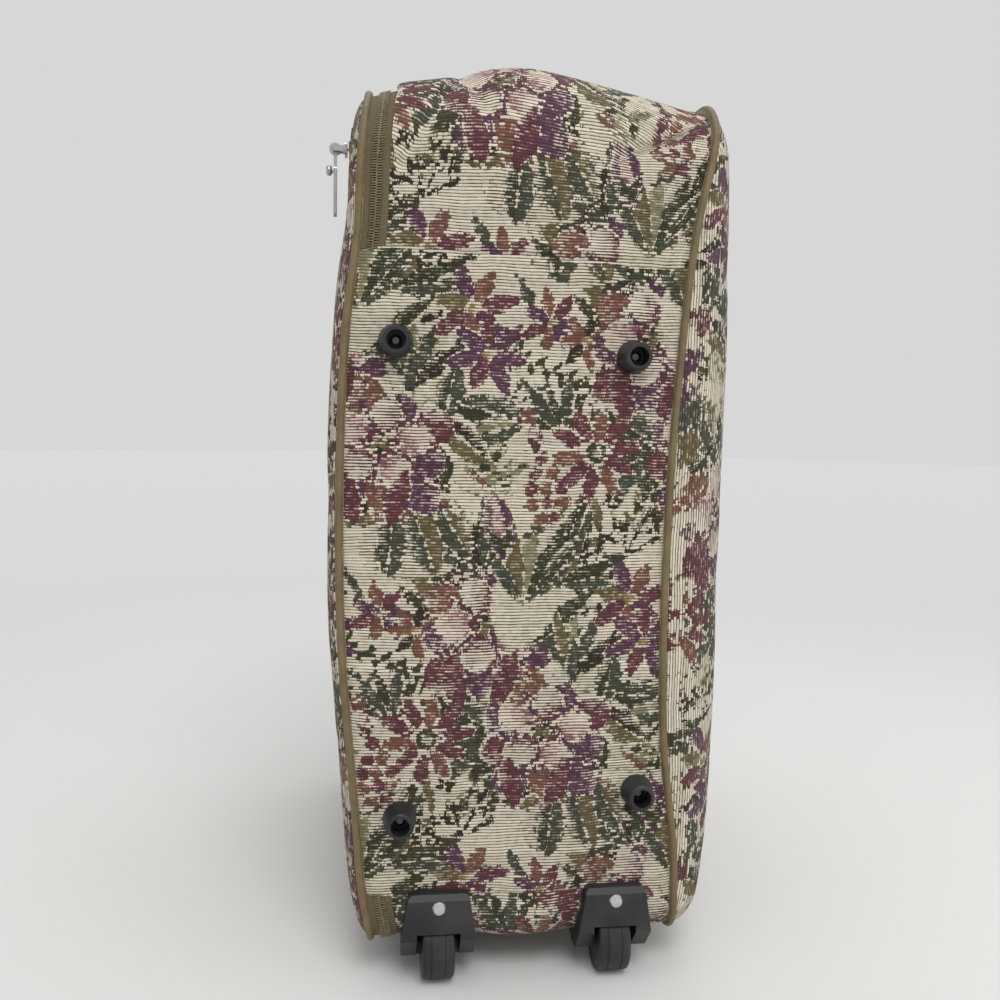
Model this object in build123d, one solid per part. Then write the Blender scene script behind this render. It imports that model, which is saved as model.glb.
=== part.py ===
"""Soft-sided rolling suitcase standing on two wheels and two end feet, with a zipped cloth-hinged lid."""

import os

from build123d import *

# Directions: X runs from the lid to the back, Y from the feet side to the carrying side, Z up. Sizes in mm.

# Cloth case
case_height = 609.0
case_width = 410.0
case_depth = 220.0
corner_radius = 48.0
base_corner_radius = 24.0
ground_gap = 27.0
wall = 5.0
near_bow = 19.0
far_bow = 0.3
top_flare = 14.0
lid_bulge = 11.0
lid_shoulder = 7.0
back_bulge = 48.0
back_shoulder = 19.0
piping_radius = 3.0
piping_round = 2.7
cut_margin = 10.0

# Main zipper and the cloth hinge it leaves on the feet side
tape_width = 4.6
tape_depth = 0.8
tape_thickness = 1.2
tooth_width = 3.4
tooth_proud = 0.6
tooth_depth = 2.8
chain_gap = 1.2
hinge_low = 39.0
hinge_top_inset = 115.0
hinge_gap = 0.4

# Stiffeners and lining
band_width = 6.0
band_thickness = 2.0
band_offset = 0.6
board_thickness = 3.0
board_front_offset = 24.6
board_back_offset = 10.0
base_board_height = 70.0
board_joint_gap = 2.0
foot_board_top_inset = 64.0
handle_board_width = 90.0
handle_board_height = 220.0
lining_inset = 13.6
lining_thickness = 1.2
lining_step = 0.4
lining_shoulder = 9.0
lid_lining_depth = 3.4

# Side feet and end feet
foot_base_radius = 11.8
foot_tip_radius = 9.4
foot_hole_radius = 6.6
foot_height = 18.0
foot_floor = 4.0
foot_foot = 2.4
foot_rim = 1.2
foot_bottom_inset = 97.0
foot_top_inset = 178.0
foot_edge_inset = 32.0
back_foot_rise = 15.0
back_foot_drop = 7.0
back_foot_spread = 14.0
end_foot_base_radius = 15.0
end_foot_tip_radius = 10.0
end_foot_setback = 64.0
screw_head_radius = 4.4
screw_head_height = 2.4
screw_radius = 2.0
screw_hole_clearance = 0.1
washer_radius = 7.0
washer_thickness = 1.4

# Wheels and wheel housings
wheel_radius = 25.0
wheel_width = 23.5
wheel_edge = 2.6
wheel_front_inset = 50.0
wheel_back_inset = 42.0
groove_width = 0.8
groove_depth = 0.4
groove_spread = 5.0
hub_radius = 8.0
hub_end_gap = 0.4
axle_radius = 3.0
axle_clearance = 0.06
axle_end_inset = 1.0
slot_width = 31.0
well_gap = 2.6
well_skin = 3.0
well_cheek = 4.0
cloth_gap = 0.4
axle_setback = 11.0
housing_proud = 11.0
housing_low_width = 53.0
housing_top_width = 43.0
housing_top_rise = 42.6
housing_taper_rise = 11.0
housing_bevel = 3.6
housing_round = 4.0
housing_reach = 76.0
plate_rise = 10.0
notch_rise = 14.0
flange_thickness = 3.0
ear_drop = 7.0
ear_half = 6.0
ear_round = 5.0
ear_slope = 24.0

# Rivets
rivet_head_radius = 5.0
rivet_head_height = 2.2
rivet_dome_shares = ((0.8, 0.6), (0.45, 0.92))
rivet_radius = 2.0
rivet_tail_radius = 3.8
rivet_tail_thickness = 1.4
housing_rivet_rise = 33.6
flange_rivet_setback = 8.0
flange_rivet_spread = 24.0

# Carrying handle
handle_span = 144.0
pivot_height = 11.0
handle_rise = 46.0
handle_bend = 16.0
arm_width = 14.0
arm_thickness = 11.0
arm_round = 4.5
grip_width = 25.0
grip_thickness = 17.0
grip_round = 7.5
grip_length = 92.0
eye_radius = 7.0
eye_height = 14.0
eye_gap = 0.3
pin_radius = 2.5
pin_clearance = 0.08
bracket_width = 28.0
bracket_height = 58.0
bracket_thickness = 3.0
bracket_round = 6.0
lug_thickness = 4.0
lug_width = 14.0
bracket_rivet_spread = 42.0

# Pull ring on the top end
ring_wire_radius = 2.0
ring_width = 44.0
ring_length = 36.0
ring_corner = 8.0
tab_width = 38.0
tab_length = 40.0
tab_thickness = 2.6
tab_round = 8.0
tab_loop_width = 20.0
tab_loop_radius = 5.2
ring_clearance = 0.3
tab_rivet_spread = 22.0

# Zipper sliders and pulls
slider_length = 17.0
slider_width = 11.6
slider_plate = 1.8
slider_round = 3.0
slider_gap = 0.4
slider_post = 0.5
slider_post_length = 6.0
slider_lug_width = 2.6
slider_lug_length = 6.4
slider_lug_height = 6.0
slider_pin_radius = 1.1
slider_pin_gap = 0.2
upper_slider_rise = 56.0
slider_spacing = 70.0
pull_length = 33.0
pull_width = 9.0
pull_thickness = 2.0
pull_arm_gap = 0.4
pull_eye_radius = 2.6

# Outer pocket on the lid
pocket_drop = 41.0
pocket_end_inset = 37.0
pocket_tape_width = 24.0
pocket_tape_thickness = 0.8
pocket_seat_gap = 0.1
pocket_tooth_width = 3.0
pocket_tooth_height = 1.8
pocket_slider_inset = 12.0
pocket_slider_length = 15.0
pocket_slider_width = 9.6
pocket_slider_gap = 1.0
pocket_post_gap = 0.4
bail_height = 6.6
bail_post = 2.0
bail_pin_radius = 1.2
bail_pin_gap = 0.25
eye_ring_radius = 4.2
eye_ring_thickness = 3.0
neck_width = 3.2
stud_drop = 15.0
stud_radius = 3.6
stud_reach = 1.2
button_height = 4.0
button_round = 1.7
pocket_pull_length = 47.0
pocket_pull_width = 8.0
pocket_pull_thickness = 2.2
pocket_pull_round = 3.0

# Derived places
case_low = ground_gap
case_high = ground_gap + case_height
case_mid = ground_gap + case_height / 2
upper_slider_height = case_mid + upper_slider_rise
lower_slider_height = upper_slider_height - slider_spacing
pocket_height = case_high - pocket_drop
pocket_half_length = case_width / 2 - pocket_end_inset
pocket_slider_start = pocket_half_length - pocket_slider_inset
near_y = -case_width / 2
far_y = case_width / 2
zip_width = 2 * tape_width + 2 * tooth_width + chain_gap
chain_middle = zip_width / 2
axle_z = wheel_radius
well_radius = wheel_radius + well_gap
axle_y = near_y + axle_setback
liner_radius = well_radius + well_skin
housing_top = case_low + housing_top_rise
housing_taper_start = case_low + housing_taper_rise
housing_rivet_height = case_low + housing_rivet_rise
plate_low = case_low + plate_rise
notch_top = case_low + notch_rise
ear_low = axle_z - ear_drop
liner_width = slot_width + 2 * well_cheek
wheel_places = (wheel_front_inset - case_depth / 2, case_depth / 2 - wheel_back_inset)


def bow_at(y):
    share = (y - near_y) / case_width
    return near_bow + (far_bow - near_bow) * share


def strip_shift(y, z):
    share = (z - case_low) / case_height
    return -4 * bow_at(y) * share * (1 - share)


def front_x(y, z):
    return strip_shift(y, z) - case_depth / 2


def back_x(y, z):
    share = (z - case_low) / case_height
    return strip_shift(y, z) + case_depth / 2 + top_flare * share


def strip_centre(y, z):
    return (front_x(y, z) + back_x(y, z)) / 2


def box_between(low, high):
    size = [b - a for a, b in zip(low, high)]
    middle = [(a + b) / 2 for a, b in zip(low, high)]
    return Pos(*middle) * Box(*size)


def rod(start, axis, radius, length):
    return extrude(Plane(origin=start, z_dir=axis) * Circle(radius), amount=length)


def case_block(inset):
    """The case seen along X, drawn in by the inset and long enough in X to be trimmed by the bowed slabs."""
    outline = Rectangle(case_width - 2 * inset, case_height - 2 * inset)
    outline = fillet(outline.vertices().sort_by(Axis.Y)[2:], corner_radius - inset)
    outline = fillet(outline.vertices().sort_by(Axis.Y)[:2], base_corner_radius - inset)
    return extrude(Plane.YZ * Pos(0, case_mid) * outline, amount=case_depth, both=True)


def rim(outer_inset, inner_inset):
    return case_block(outer_inset) - case_block(inner_inset)


def slab_section(y, low_line, low_offset, high_line, high_offset):
    heights = (case_low - cut_margin, case_mid, case_high + cut_margin)
    edges = []
    for line, offset in ((low_line, low_offset), (high_line, high_offset)):
        x = [line(y, z) + offset for z in heights]
        control = 2 * x[1] - (x[0] + x[2]) / 2
        edges.append(Bezier((x[0], y, heights[0]), (control, y, heights[1]), (x[2], y, heights[2])))
    low, high = edges
    bottom = Line(low @ 0, high @ 0)
    top = Line(low @ 1, high @ 1)
    return Face(Wire([low, top, high, bottom]))


def slab(low_line, low_offset, high_line, high_offset):
    """The space between two bowed lines, fully bowed on the feet side and straight on the carrying side."""
    near = slab_section(near_y - cut_margin, low_line, low_offset, high_line, high_offset)
    far = slab_section(far_y + cut_margin, low_line, low_offset, high_line, high_offset)
    return loft([near, far], ruled=True)


def zone(y_low, y_high, z_low, z_high):
    return box_between((-case_depth, y_low, z_low), (case_depth, y_high, z_high))


piping_groove = rim(-piping_radius - cut_margin, piping_radius)
hinge_span = (case_low + hinge_low, case_high - hinge_top_inset)
hinge_zone = zone(near_y - cut_margin, near_y + corner_radius, *hinge_span)


# Fasteners: each place is a point on the cloth and the way inwards
def side_foot_places():
    places = []
    low, high = case_low + foot_bottom_inset, case_high - foot_top_inset
    for z, lift, spread in ((low, back_foot_rise, back_foot_spread), (high, -back_foot_drop, 0)):
        places.append((front_x(near_y, z) + foot_edge_inset, near_y, z))
        places.append((back_x(near_y, z + lift) - foot_edge_inset + spread, near_y, z + lift))
    return places


def end_foot_places():
    return [(x, far_y - end_foot_setback, case_low) for x in wheel_places]


def flange_rivet_places():
    y = axle_y + liner_radius + flange_rivet_setback
    sides = (-flange_rivet_spread / 2, flange_rivet_spread / 2)
    return [(x + side, y, case_low) for x in wheel_places for side in sides]


def corner_y(inset, z):
    """Y of the rounded bottom corner on the feet side, at height z, for a skin drawn in by the inset."""
    middle = (near_y + base_corner_radius, case_low + base_corner_radius)
    radius = base_corner_radius - inset
    return middle[0] - (radius**2 - max(middle[1] - z, 0) ** 2) ** 0.5


def bracket_rivet_places():
    x = strip_centre(far_y, case_mid)
    places = []
    for end in (-1, 1):
        for side in (-1, 1):
            z = case_mid + end * handle_span / 2 + side * bracket_rivet_spread / 2
            places.append((x, far_y, z))
    return places


def tab_rivet_places():
    x = strip_centre(0, case_high)
    return [(x + side * tab_rivet_spread / 2, -tab_length / 4, case_high) for side in (-1, 1)]


def shank_holes():
    """Every hole through the cloth and its boards."""
    reach = lining_inset + cut_margin
    holes = []
    for place in side_foot_places():
        holes.append(rod(place, (0, 1, 0), screw_radius + screw_hole_clearance, lining_inset))
    for place in end_foot_places():
        holes.append(rod(place, (0, 0, 1), screw_radius + screw_hole_clearance, lining_inset))
    for place in flange_rivet_places():
        holes.append(rod(place, (0, 0, 1), rivet_radius + screw_hole_clearance, lining_inset))
    for place in bracket_rivet_places():
        holes.append(rod(place, (0, -1, 0), rivet_radius + screw_hole_clearance, lining_inset))
    for place in tab_rivet_places():
        holes.append(rod(place, (0, 0, -1), rivet_radius + screw_hole_clearance, lining_inset))
    for x in wheel_places:
        start = (x, near_y, housing_rivet_height)
        holes.append(rod(start, (0, 1, 0), rivet_radius + screw_hole_clearance, reach))
    return holes


def well_cuts(gap):
    """The hollows that the wheel wells need in the cloth, the base board and the lining."""
    cuts = []
    for x in wheel_places:
        start = (x - liner_width / 2 - gap, axle_y, axle_z)
        cuts.append(rod(start, (1, 0, 0), liner_radius + gap, liner_width + 2 * gap))
    return cuts


# Cloth case
def side_wall():
    ring = rim(0, wall)
    body = ring & slab(front_x, zip_width, back_x, 0)
    hinge = ring & slab(front_x, hinge_gap, front_x, zip_width) & hinge_zone
    return body + hinge - well_cuts(cloth_gap) - shank_holes()


def pillow(inset, reach):
    """The bulging back panel as a full body, drawn in by the inset."""
    plateau = back_x(near_y, case_mid) + back_bulge - inset
    body = case_block(inset) & slab(back_x, -reach, back_x, case_depth)
    body = body & box_between((-case_depth, near_y, case_low), (plateau, far_y, case_high))
    rim_edges = body.faces().sort_by(Axis.X)[-1].edges()
    return fillet(rim_edges, back_shoulder - inset)


def back_panel():
    groove = piping_groove & slab(back_x, -cut_margin, back_x, 2 * piping_radius)
    inside_out = slab(back_x, -case_depth, back_x, 0)
    return pillow(0, 0) - pillow(wall, cut_margin) - groove - inside_out


def piping(line, low_offset):
    """A round vinyl cord laid along one edge of the side wall."""
    cord = rim(-piping_radius, piping_radius) & slab(line, low_offset, line, low_offset + 2 * piping_radius)
    long_edges = [edge for edge in cord.edges() if edge.length > 3 * piping_radius]
    return fillet(long_edges, piping_round)


def lid_panel():
    outer = case_block(0) & slab(front_x, -lid_bulge, front_x, 0)
    face = outer.faces().sort_by(lambda f: f.center().X)[0]
    outer = fillet(face.edges(), lid_shoulder)
    inner = case_block(wall) & slab(front_x, wall - lid_bulge, front_x, cut_margin)
    groove = piping_groove & slab(front_x, -2 * piping_radius, front_x, cut_margin)
    return outer - inner - groove


def zip_strip(low_offset, width, proud, depth):
    strip = rim(proud, depth) & slab(front_x, low_offset, front_x, low_offset + width)
    return strip - hinge_zone


def main_zipper():
    tape = (tape_depth, tape_depth + tape_thickness)
    tooth = (-tooth_proud, tooth_depth)
    lid_chain = tape_width
    body_chain = tape_width + tooth_width + chain_gap
    return {
        "zip_tape_lid": zip_strip(0, tape_width, *tape),
        "zip_teeth_lid": zip_strip(lid_chain, tooth_width, *tooth),
        "zip_teeth_body": zip_strip(body_chain, tooth_width, *tooth),
        "zip_tape_body": zip_strip(body_chain + tooth_width, tape_width, *tape),
    }


# Stiffeners and lining
def frame_band(line, low_offset):
    return rim(wall, wall + band_thickness) & slab(line, low_offset, line, low_offset + band_width)


def board_ring():
    return rim(wall, wall + board_thickness) & slab(front_x, board_front_offset, back_x, -board_back_offset)


def boards():
    ring = board_ring()
    low = zone(near_y, far_y, case_low, case_low + base_board_height)
    joint = case_low + base_board_height + board_joint_gap
    near = zone(near_y, near_y + corner_radius, joint, case_high - foot_board_top_inset)
    half = handle_board_height / 2
    centre = strip_centre(far_y, case_mid)
    sides = (centre - handle_board_width / 2, centre + handle_board_width / 2)
    far = box_between((sides[0], 0, case_mid - half), (sides[1], far_y, case_mid + half))
    holes = shank_holes()
    return {
        "base_board": (ring & low) - well_cuts(cloth_gap) - holes,
        "foot_board": (ring & near) - holes,
        "handle_board": (ring & far) - holes,
    }


def lining_body(inset, plateau_inset, front_offset):
    plateau = back_x(near_y, case_mid) + back_bulge - plateau_inset
    body = case_block(inset) & slab(front_x, front_offset, front_x, 2 * case_depth)
    body = body & box_between((-case_depth, near_y, case_low), (plateau, far_y, case_high))
    return fillet(body.faces().sort_by(Axis.X)[-1].edges(), lining_shoulder - inset + lining_inset)


def body_lining():
    mouth = zip_width + band_offset - lining_thickness
    outer = lining_body(lining_inset, wall + lining_step, mouth)
    inner_inset = lining_inset + lining_thickness
    inner = lining_body(inner_inset, wall + lining_step + lining_thickness, mouth - cut_margin)
    lip = rim(wall, lining_inset + lining_thickness / 2)
    lip = lip & slab(front_x, mouth, front_x, mouth + lining_thickness)
    return outer - inner + lip - well_cuts(cloth_gap)


def lid_lining():
    return case_block(wall) & slab(front_x, -lid_lining_depth, front_x, lining_thickness - lid_lining_depth)


# Side feet and end feet
def turned(profile, place, axis):
    """Revolves (radius, height) points about an axis that starts at the place."""
    outline = make_face(Polyline(*profile, close=True))
    solid = revolve(Plane.XZ * outline, Axis.Z)
    return Plane(origin=place, z_dir=axis) * solid


def foot(place, axis, height, base_radius, tip_radius):
    profile = [
        (screw_radius + screw_hole_clearance, 0),
        (base_radius, 0),
        (base_radius, foot_foot),
        (tip_radius, height - foot_rim),
        (tip_radius - foot_rim, height),
        (foot_hole_radius, height),
        (foot_hole_radius, foot_floor),
        (screw_radius + screw_hole_clearance, foot_floor),
    ]
    return turned(profile, place, axis)


def screw(place, axis):
    """Pan-head screw seated on the floor of a foot, its shank running in through the cloth and board."""
    inside = wall + board_thickness + washer_thickness
    profile = [
        (0, -inside),
        (screw_radius, -inside),
        (screw_radius, foot_floor),
        (screw_head_radius, foot_floor),
        (screw_head_radius, foot_floor + screw_head_height / 2),
        (screw_head_radius / 2, foot_floor + screw_head_height),
        (0, foot_floor + screw_head_height),
    ]
    return turned(profile, place, axis)


def washer(place, axis):
    inside = wall + board_thickness
    profile = [
        (screw_radius, -inside),
        (washer_radius, -inside),
        (washer_radius, -inside - washer_thickness),
        (screw_radius, -inside - washer_thickness),
    ]
    return turned(profile, place, axis)


def feet():
    out = (0, -1, 0)
    down = (0, 0, -1)
    side = side_foot_places()
    end = end_foot_places()
    names = ("lower_front", "lower_back", "upper_front", "upper_back")
    pieces = {}
    for name, place in zip(names, side):
        pieces["side_foot_" + name] = foot(place, out, foot_height, foot_base_radius, foot_tip_radius)
    for name, place in zip(("front", "back"), end):
        pieces["end_foot_" + name] = foot(place, down, ground_gap, end_foot_base_radius, end_foot_tip_radius)
    seats = [(place, out) for place in side] + [(place, down) for place in end]
    pieces["foot_screws"] = Compound([screw(*seat) for seat in seats])
    pieces["foot_washers"] = Compound([washer(*seat) for seat in seats])
    return pieces


# Wheels and wheel housings
def wheel_housing(x):
    """Moulded corner housing: bevelled front plate, cheeks with axle ears, bottom flange and a wheel well."""
    front = near_y - housing_proud
    back = front + housing_reach
    flange = case_low - flange_thickness
    side_outline = Polyline(
        (front, plate_low),
        (front, housing_top - housing_bevel),
        (front + housing_bevel, housing_top),
        (back, housing_top),
        (back, flange),
        (axle_y + ear_slope, flange),
        (axle_y + ear_half, ear_low),
        (axle_y - ear_half, ear_low),
        close=True,
    )
    side_face = make_face(side_outline)
    ears = side_face.vertices().sort_by(Axis.Y)[:2]
    side_face = fillet(ears, ear_round)
    body = extrude(Plane.YZ * side_face, amount=housing_low_width / 2, both=True)
    low = housing_low_width / 2
    top = housing_top_width / 2
    front_outline = Polyline(
        (-low, 0),
        (low, 0),
        (low, housing_taper_start),
        (top, housing_top),
        (-top, housing_top),
        (-low, housing_taper_start),
        close=True,
    )
    front_face = make_face(front_outline)
    front_face = fillet(front_face.vertices().sort_by(Axis.Y)[2:], housing_round)
    body = body & extrude(Plane.XZ * front_face, amount=case_width, both=True)
    body = Pos(x, 0, 0) * body
    case = case_block(0)
    liner = rod((x - liner_width / 2, axle_y, axle_z), (1, 0, 0), liner_radius, liner_width) & case
    body = body - case + liner
    half = slot_width / 2
    slot = rod((x - half, axle_y, axle_z), (1, 0, 0), well_radius, slot_width)
    below = box_between((x - half, axle_y - well_radius, 0), (x + half, axle_y + well_radius, axle_z))
    notch = box_between((x - half, front - cut_margin, 0), (x + half, axle_y, notch_top))
    axle_hole = rod((x - low, axle_y, axle_z), (1, 0, 0), axle_radius, housing_low_width)
    body = body - slot - below - notch - axle_hole
    body = body - rod((x, front, housing_rivet_height), (0, 1, 0), rivet_radius, case_width / 4)
    for place in flange_rivet_places():
        body = body - rod((place[0], place[1], flange), (0, 0, 1), rivet_radius, flange_thickness)
    return body


def wheel(x):
    tyre = rod((x - wheel_width / 2, axle_y, axle_z), (1, 0, 0), wheel_radius, wheel_width)
    tyre = fillet(tyre.edges().filter_by(GeomType.CIRCLE), wheel_edge)
    for side in (-1, 1):
        start = (x + side * groove_spread - groove_width / 2, axle_y, axle_z)
        ring = rod(start, (1, 0, 0), wheel_radius, groove_width)
        tyre = tyre - (ring - rod(start, (1, 0, 0), wheel_radius - groove_depth, groove_width))
    hub_width = slot_width - 2 * hub_end_gap
    hub = rod((x - hub_width / 2, axle_y, axle_z), (1, 0, 0), hub_radius, hub_width)
    bore = rod((x - slot_width, axle_y, axle_z), (1, 0, 0), axle_radius + axle_clearance, 2 * slot_width)
    return tyre + hub - bore


def axle(x):
    length = housing_low_width - 2 * axle_end_inset
    return rod((x - length / 2, axle_y, axle_z), (1, 0, 0), axle_radius, length)


def rivet(place, axis, grip):
    """Domed rivet: head on the outside at the place, shank through the grip, tail peened inside."""
    profile = [
        (0, -grip - rivet_tail_thickness),
        (rivet_tail_radius, -grip - rivet_tail_thickness),
        (rivet_tail_radius, -grip),
        (rivet_radius, -grip),
        (rivet_radius, 0),
        (rivet_head_radius, 0),
        *[(rivet_head_radius * across, rivet_head_height * up) for across, up in rivet_dome_shares],
        (0, rivet_head_height),
    ]
    return turned(profile, place, axis)


def wheels():
    pieces = {}
    rivets = []
    front = near_y - housing_proud
    for name, x in zip(("front", "back"), wheel_places):
        pieces["wheel_housing_" + name] = wheel_housing(x)
        pieces["wheel_" + name] = wheel(x)
        pieces["axle_" + name] = axle(x)
        grip = corner_y(wall + board_thickness, housing_rivet_height - rivet_tail_radius) - front
        rivets.append(rivet((x, front, housing_rivet_height), (0, -1, 0), grip))
    flange_grip = flange_thickness + wall + board_thickness
    for place in flange_rivet_places():
        start = (place[0], place[1], case_low - flange_thickness)
        rivets.append(rivet(start, (0, 0, -1), flange_grip))
    pieces["housing_rivets"] = Compound(rivets)
    return pieces


# Carrying handle
def handle_bracket(z):
    """Moulded base plate with two lugs that take the grip's eye between them."""
    x = strip_centre(far_y, case_mid)
    plate = Plane(origin=(x, far_y, z), x_dir=(1, 0, 0), z_dir=(0, 1, 0))
    base_outline = RectangleRounded(bracket_width, bracket_height, bracket_round)
    base = extrude(plate * base_outline, amount=bracket_thickness)
    pivot_y = far_y + pivot_height
    body = base
    for side in (-1, 1):
        middle = z + side * (eye_height / 2 + eye_gap + lug_thickness / 2)
        low = (x - lug_width / 2, far_y, middle - lug_thickness / 2)
        high = (x + lug_width / 2, pivot_y, middle + lug_thickness / 2)
        end = rod((x, pivot_y, low[2]), (0, 0, 1), lug_width / 2, lug_thickness)
        body = body + box_between(low, high) + end
    body = body - rod((x, pivot_y, z - bracket_height), (0, 0, 1), pin_radius, 2 * bracket_height)
    for place in bracket_rivet_places():
        body = body - rod(place, (0, 1, 0), rivet_radius, bracket_thickness)
    return body


def handle_pin(z):
    x = strip_centre(far_y, case_mid)
    length = eye_height + 2 * eye_gap + 2 * lug_thickness
    return rod((x, far_y + pivot_height, z - length / 2), (0, 0, 1), pin_radius, length)


def handle_grip():
    """Bail from eye to eye with a fatter vinyl grip along its middle."""
    x = strip_centre(far_y, case_mid)
    pivot_y = far_y + pivot_height
    top_y = far_y + handle_rise
    low = case_mid - handle_span / 2
    high = case_mid + handle_span / 2
    corners = [(x, pivot_y, low), (x, top_y, low), (x, top_y, high), (x, pivot_y, high)]
    path = FilletPolyline(*corners, radius=handle_bend)
    section = Plane(origin=path @ 0, x_dir=(1, 0, 0), z_dir=path % 0)
    bail = sweep(section * RectangleRounded(arm_width, arm_thickness, arm_round), path)
    grip_plane = Plane(origin=(x, top_y, case_mid - grip_length / 2), x_dir=(1, 0, 0), z_dir=(0, 0, 1))
    grip = extrude(grip_plane * RectangleRounded(grip_width, grip_thickness, grip_round), amount=grip_length)
    body = bail + grip
    for z in (low, high):
        body = body + rod((x, pivot_y, z - eye_height / 2), (0, 0, 1), eye_radius, eye_height)
    hole = rod((x, pivot_y, low - eye_height), (0, 0, 1), pin_radius + pin_clearance, 2 * eye_height)
    return body - hole - Pos(0, 0, handle_span) * hole


def carrying_handle():
    low = case_mid - handle_span / 2
    high = case_mid + handle_span / 2
    grip = bracket_thickness + wall + board_thickness
    rivets = []
    for place in bracket_rivet_places():
        start = (place[0], far_y + bracket_thickness, place[2])
        rivets.append(rivet(start, (0, 1, 0), grip))
    return {
        "handle_bracket_lower": handle_bracket(low),
        "handle_bracket_upper": handle_bracket(high),
        "handle_pins": Compound([handle_pin(low), handle_pin(high)]),
        "handle_rivets": Compound(rivets),
        "handle_grip": handle_grip(),
    }


# Pull ring on the top end
def pull_tab():
    """Folded vinyl tab riveted to the top end, its loop holding the ring."""
    x = strip_centre(0, case_high)
    plate = Plane(origin=(x, 0, case_high))
    base = extrude(plate * RectangleRounded(tab_width, tab_length, tab_round), amount=tab_thickness)
    loop_y = tab_length / 4
    start = (x - tab_loop_width / 2, loop_y, case_high + tab_loop_radius)
    loop = rod(start, (1, 0, 0), tab_loop_radius, tab_loop_width)
    body = base + loop
    hole_start = (x - tab_width, loop_y, case_high + tab_loop_radius)
    body = body - rod(hole_start, (1, 0, 0), ring_wire_radius + ring_clearance, 2 * tab_width)
    for place in tab_rivet_places():
        body = body - rod(place, (0, 0, 1), rivet_radius, tab_thickness)
    return body


def pull_ring():
    """Rounded wire ring lying flat towards the carrying side."""
    x = strip_centre(0, case_high)
    plane = Plane(origin=(x, tab_length / 4 + ring_length / 2, case_high + tab_loop_radius))
    path = plane * RectangleRounded(ring_width, ring_length, ring_corner).wire()
    section = Plane(origin=path @ 0, z_dir=path % 0)
    return sweep(section * Circle(ring_wire_radius), path)


def top_end():
    rivets = []
    for place in tab_rivet_places():
        start = (place[0], place[1], case_high + tab_thickness)
        rivets.append(rivet(start, (0, 0, 1), tab_thickness + wall))
    return {"pull_tab": pull_tab(), "tab_rivets": Compound(rivets), "pull_ring": pull_ring()}


# Zipper sliders and pulls
def zip_slider(z):
    """Two plates either side of the chain, a post between its halves and a drilled lug for the pull."""
    x = front_x(far_y, z) + chain_middle
    outer_low = far_y + tooth_proud + slider_gap
    inner_high = far_y - tooth_depth - slider_gap
    plane = Plane(origin=(x, outer_low, z), x_dir=(1, 0, 0), z_dir=(0, 1, 0))
    plate = RectangleRounded(slider_width, slider_length, slider_round)
    body = extrude(plane * plate, amount=slider_plate)
    plane = Plane(origin=(x, inner_high, z), x_dir=(1, 0, 0), z_dir=(0, -1, 0))
    body = body + extrude(plane * plate, amount=slider_plate)
    half = slider_post / 2
    reach = slider_post_length / 2
    body = body + box_between((x - half, inner_high, z - reach), (x + half, outer_low, z + reach))
    lug_low = outer_low + slider_plate
    pin_y = lug_low + slider_lug_height / 2
    half = slider_lug_width / 2
    reach = slider_lug_length / 2
    lug = box_between((x - half, outer_low, z - reach), (x + half, pin_y, z + reach))
    lug = lug + rod((x - half, pin_y, z), (1, 0, 0), reach, slider_lug_width)
    hole = rod((x - slider_width, pin_y, z), (1, 0, 0), slider_pin_radius + slider_pin_gap, 2 * slider_width)
    return body + lug - hole


def zip_pull(z):
    """Forked tab hanging from the slider's lug on its own cross pin."""
    x = front_x(far_y, z) + chain_middle
    pin_y = far_y + tooth_proud + slider_gap + slider_plate + slider_lug_height / 2
    half = pull_width / 2
    tab_low = (x - half, pin_y - pull_thickness / 2, z - pull_length)
    tab = box_between(tab_low, (x + half, pin_y + pull_thickness / 2, z))
    round_end = tab.edges().filter_by(Axis.Y).group_by(Axis.Z)[0]
    tab = fillet(round_end, half / 2)
    eyes = rod((x - half, pin_y, z), (1, 0, 0), pull_eye_radius, pull_width)
    arm = slider_lug_width / 2 + pull_arm_gap
    reach = slider_lug_length / 2 + 2 * pull_arm_gap
    fork_low = (x - arm, pin_y - reach, z - reach)
    fork = box_between(fork_low, (x + arm, pin_y + reach, z + reach))
    pin = rod((x - half, pin_y, z), (1, 0, 0), slider_pin_radius, pull_width)
    return tab + eyes - fork + pin


# Outer pocket on the lid
def pocket_strip(y_half, z_low, z_high, height):
    seat = -lid_bulge - pocket_seat_gap
    proud = slab(front_x, seat - height, front_x, seat)
    return proud & zone(-y_half, y_half, z_low, z_high)


def pocket_zipper():
    z = pocket_height
    gap = chain_gap / 2
    tooth = gap + pocket_tooth_width
    edge = pocket_tape_width / 2
    tapes = []
    teeth = []
    for low, high in ((-edge, -tooth), (tooth, edge)):
        tapes.append(pocket_strip(pocket_half_length, z + low, z + high, pocket_tape_thickness))
    for low, high in ((-tooth, -gap), (gap, tooth)):
        teeth.append(pocket_strip(pocket_half_length, z + low, z + high, pocket_tooth_height))
    return {"pocket_zip_tape": Compound(tapes), "pocket_zip_teeth": Compound(teeth)}


def pocket_pin():
    y = -pocket_slider_start
    z = pocket_height
    plate_x = front_x(y, z) - lid_bulge - pocket_tooth_height - pocket_slider_gap - slider_plate
    return (plate_x - bail_height, y, z)


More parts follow.
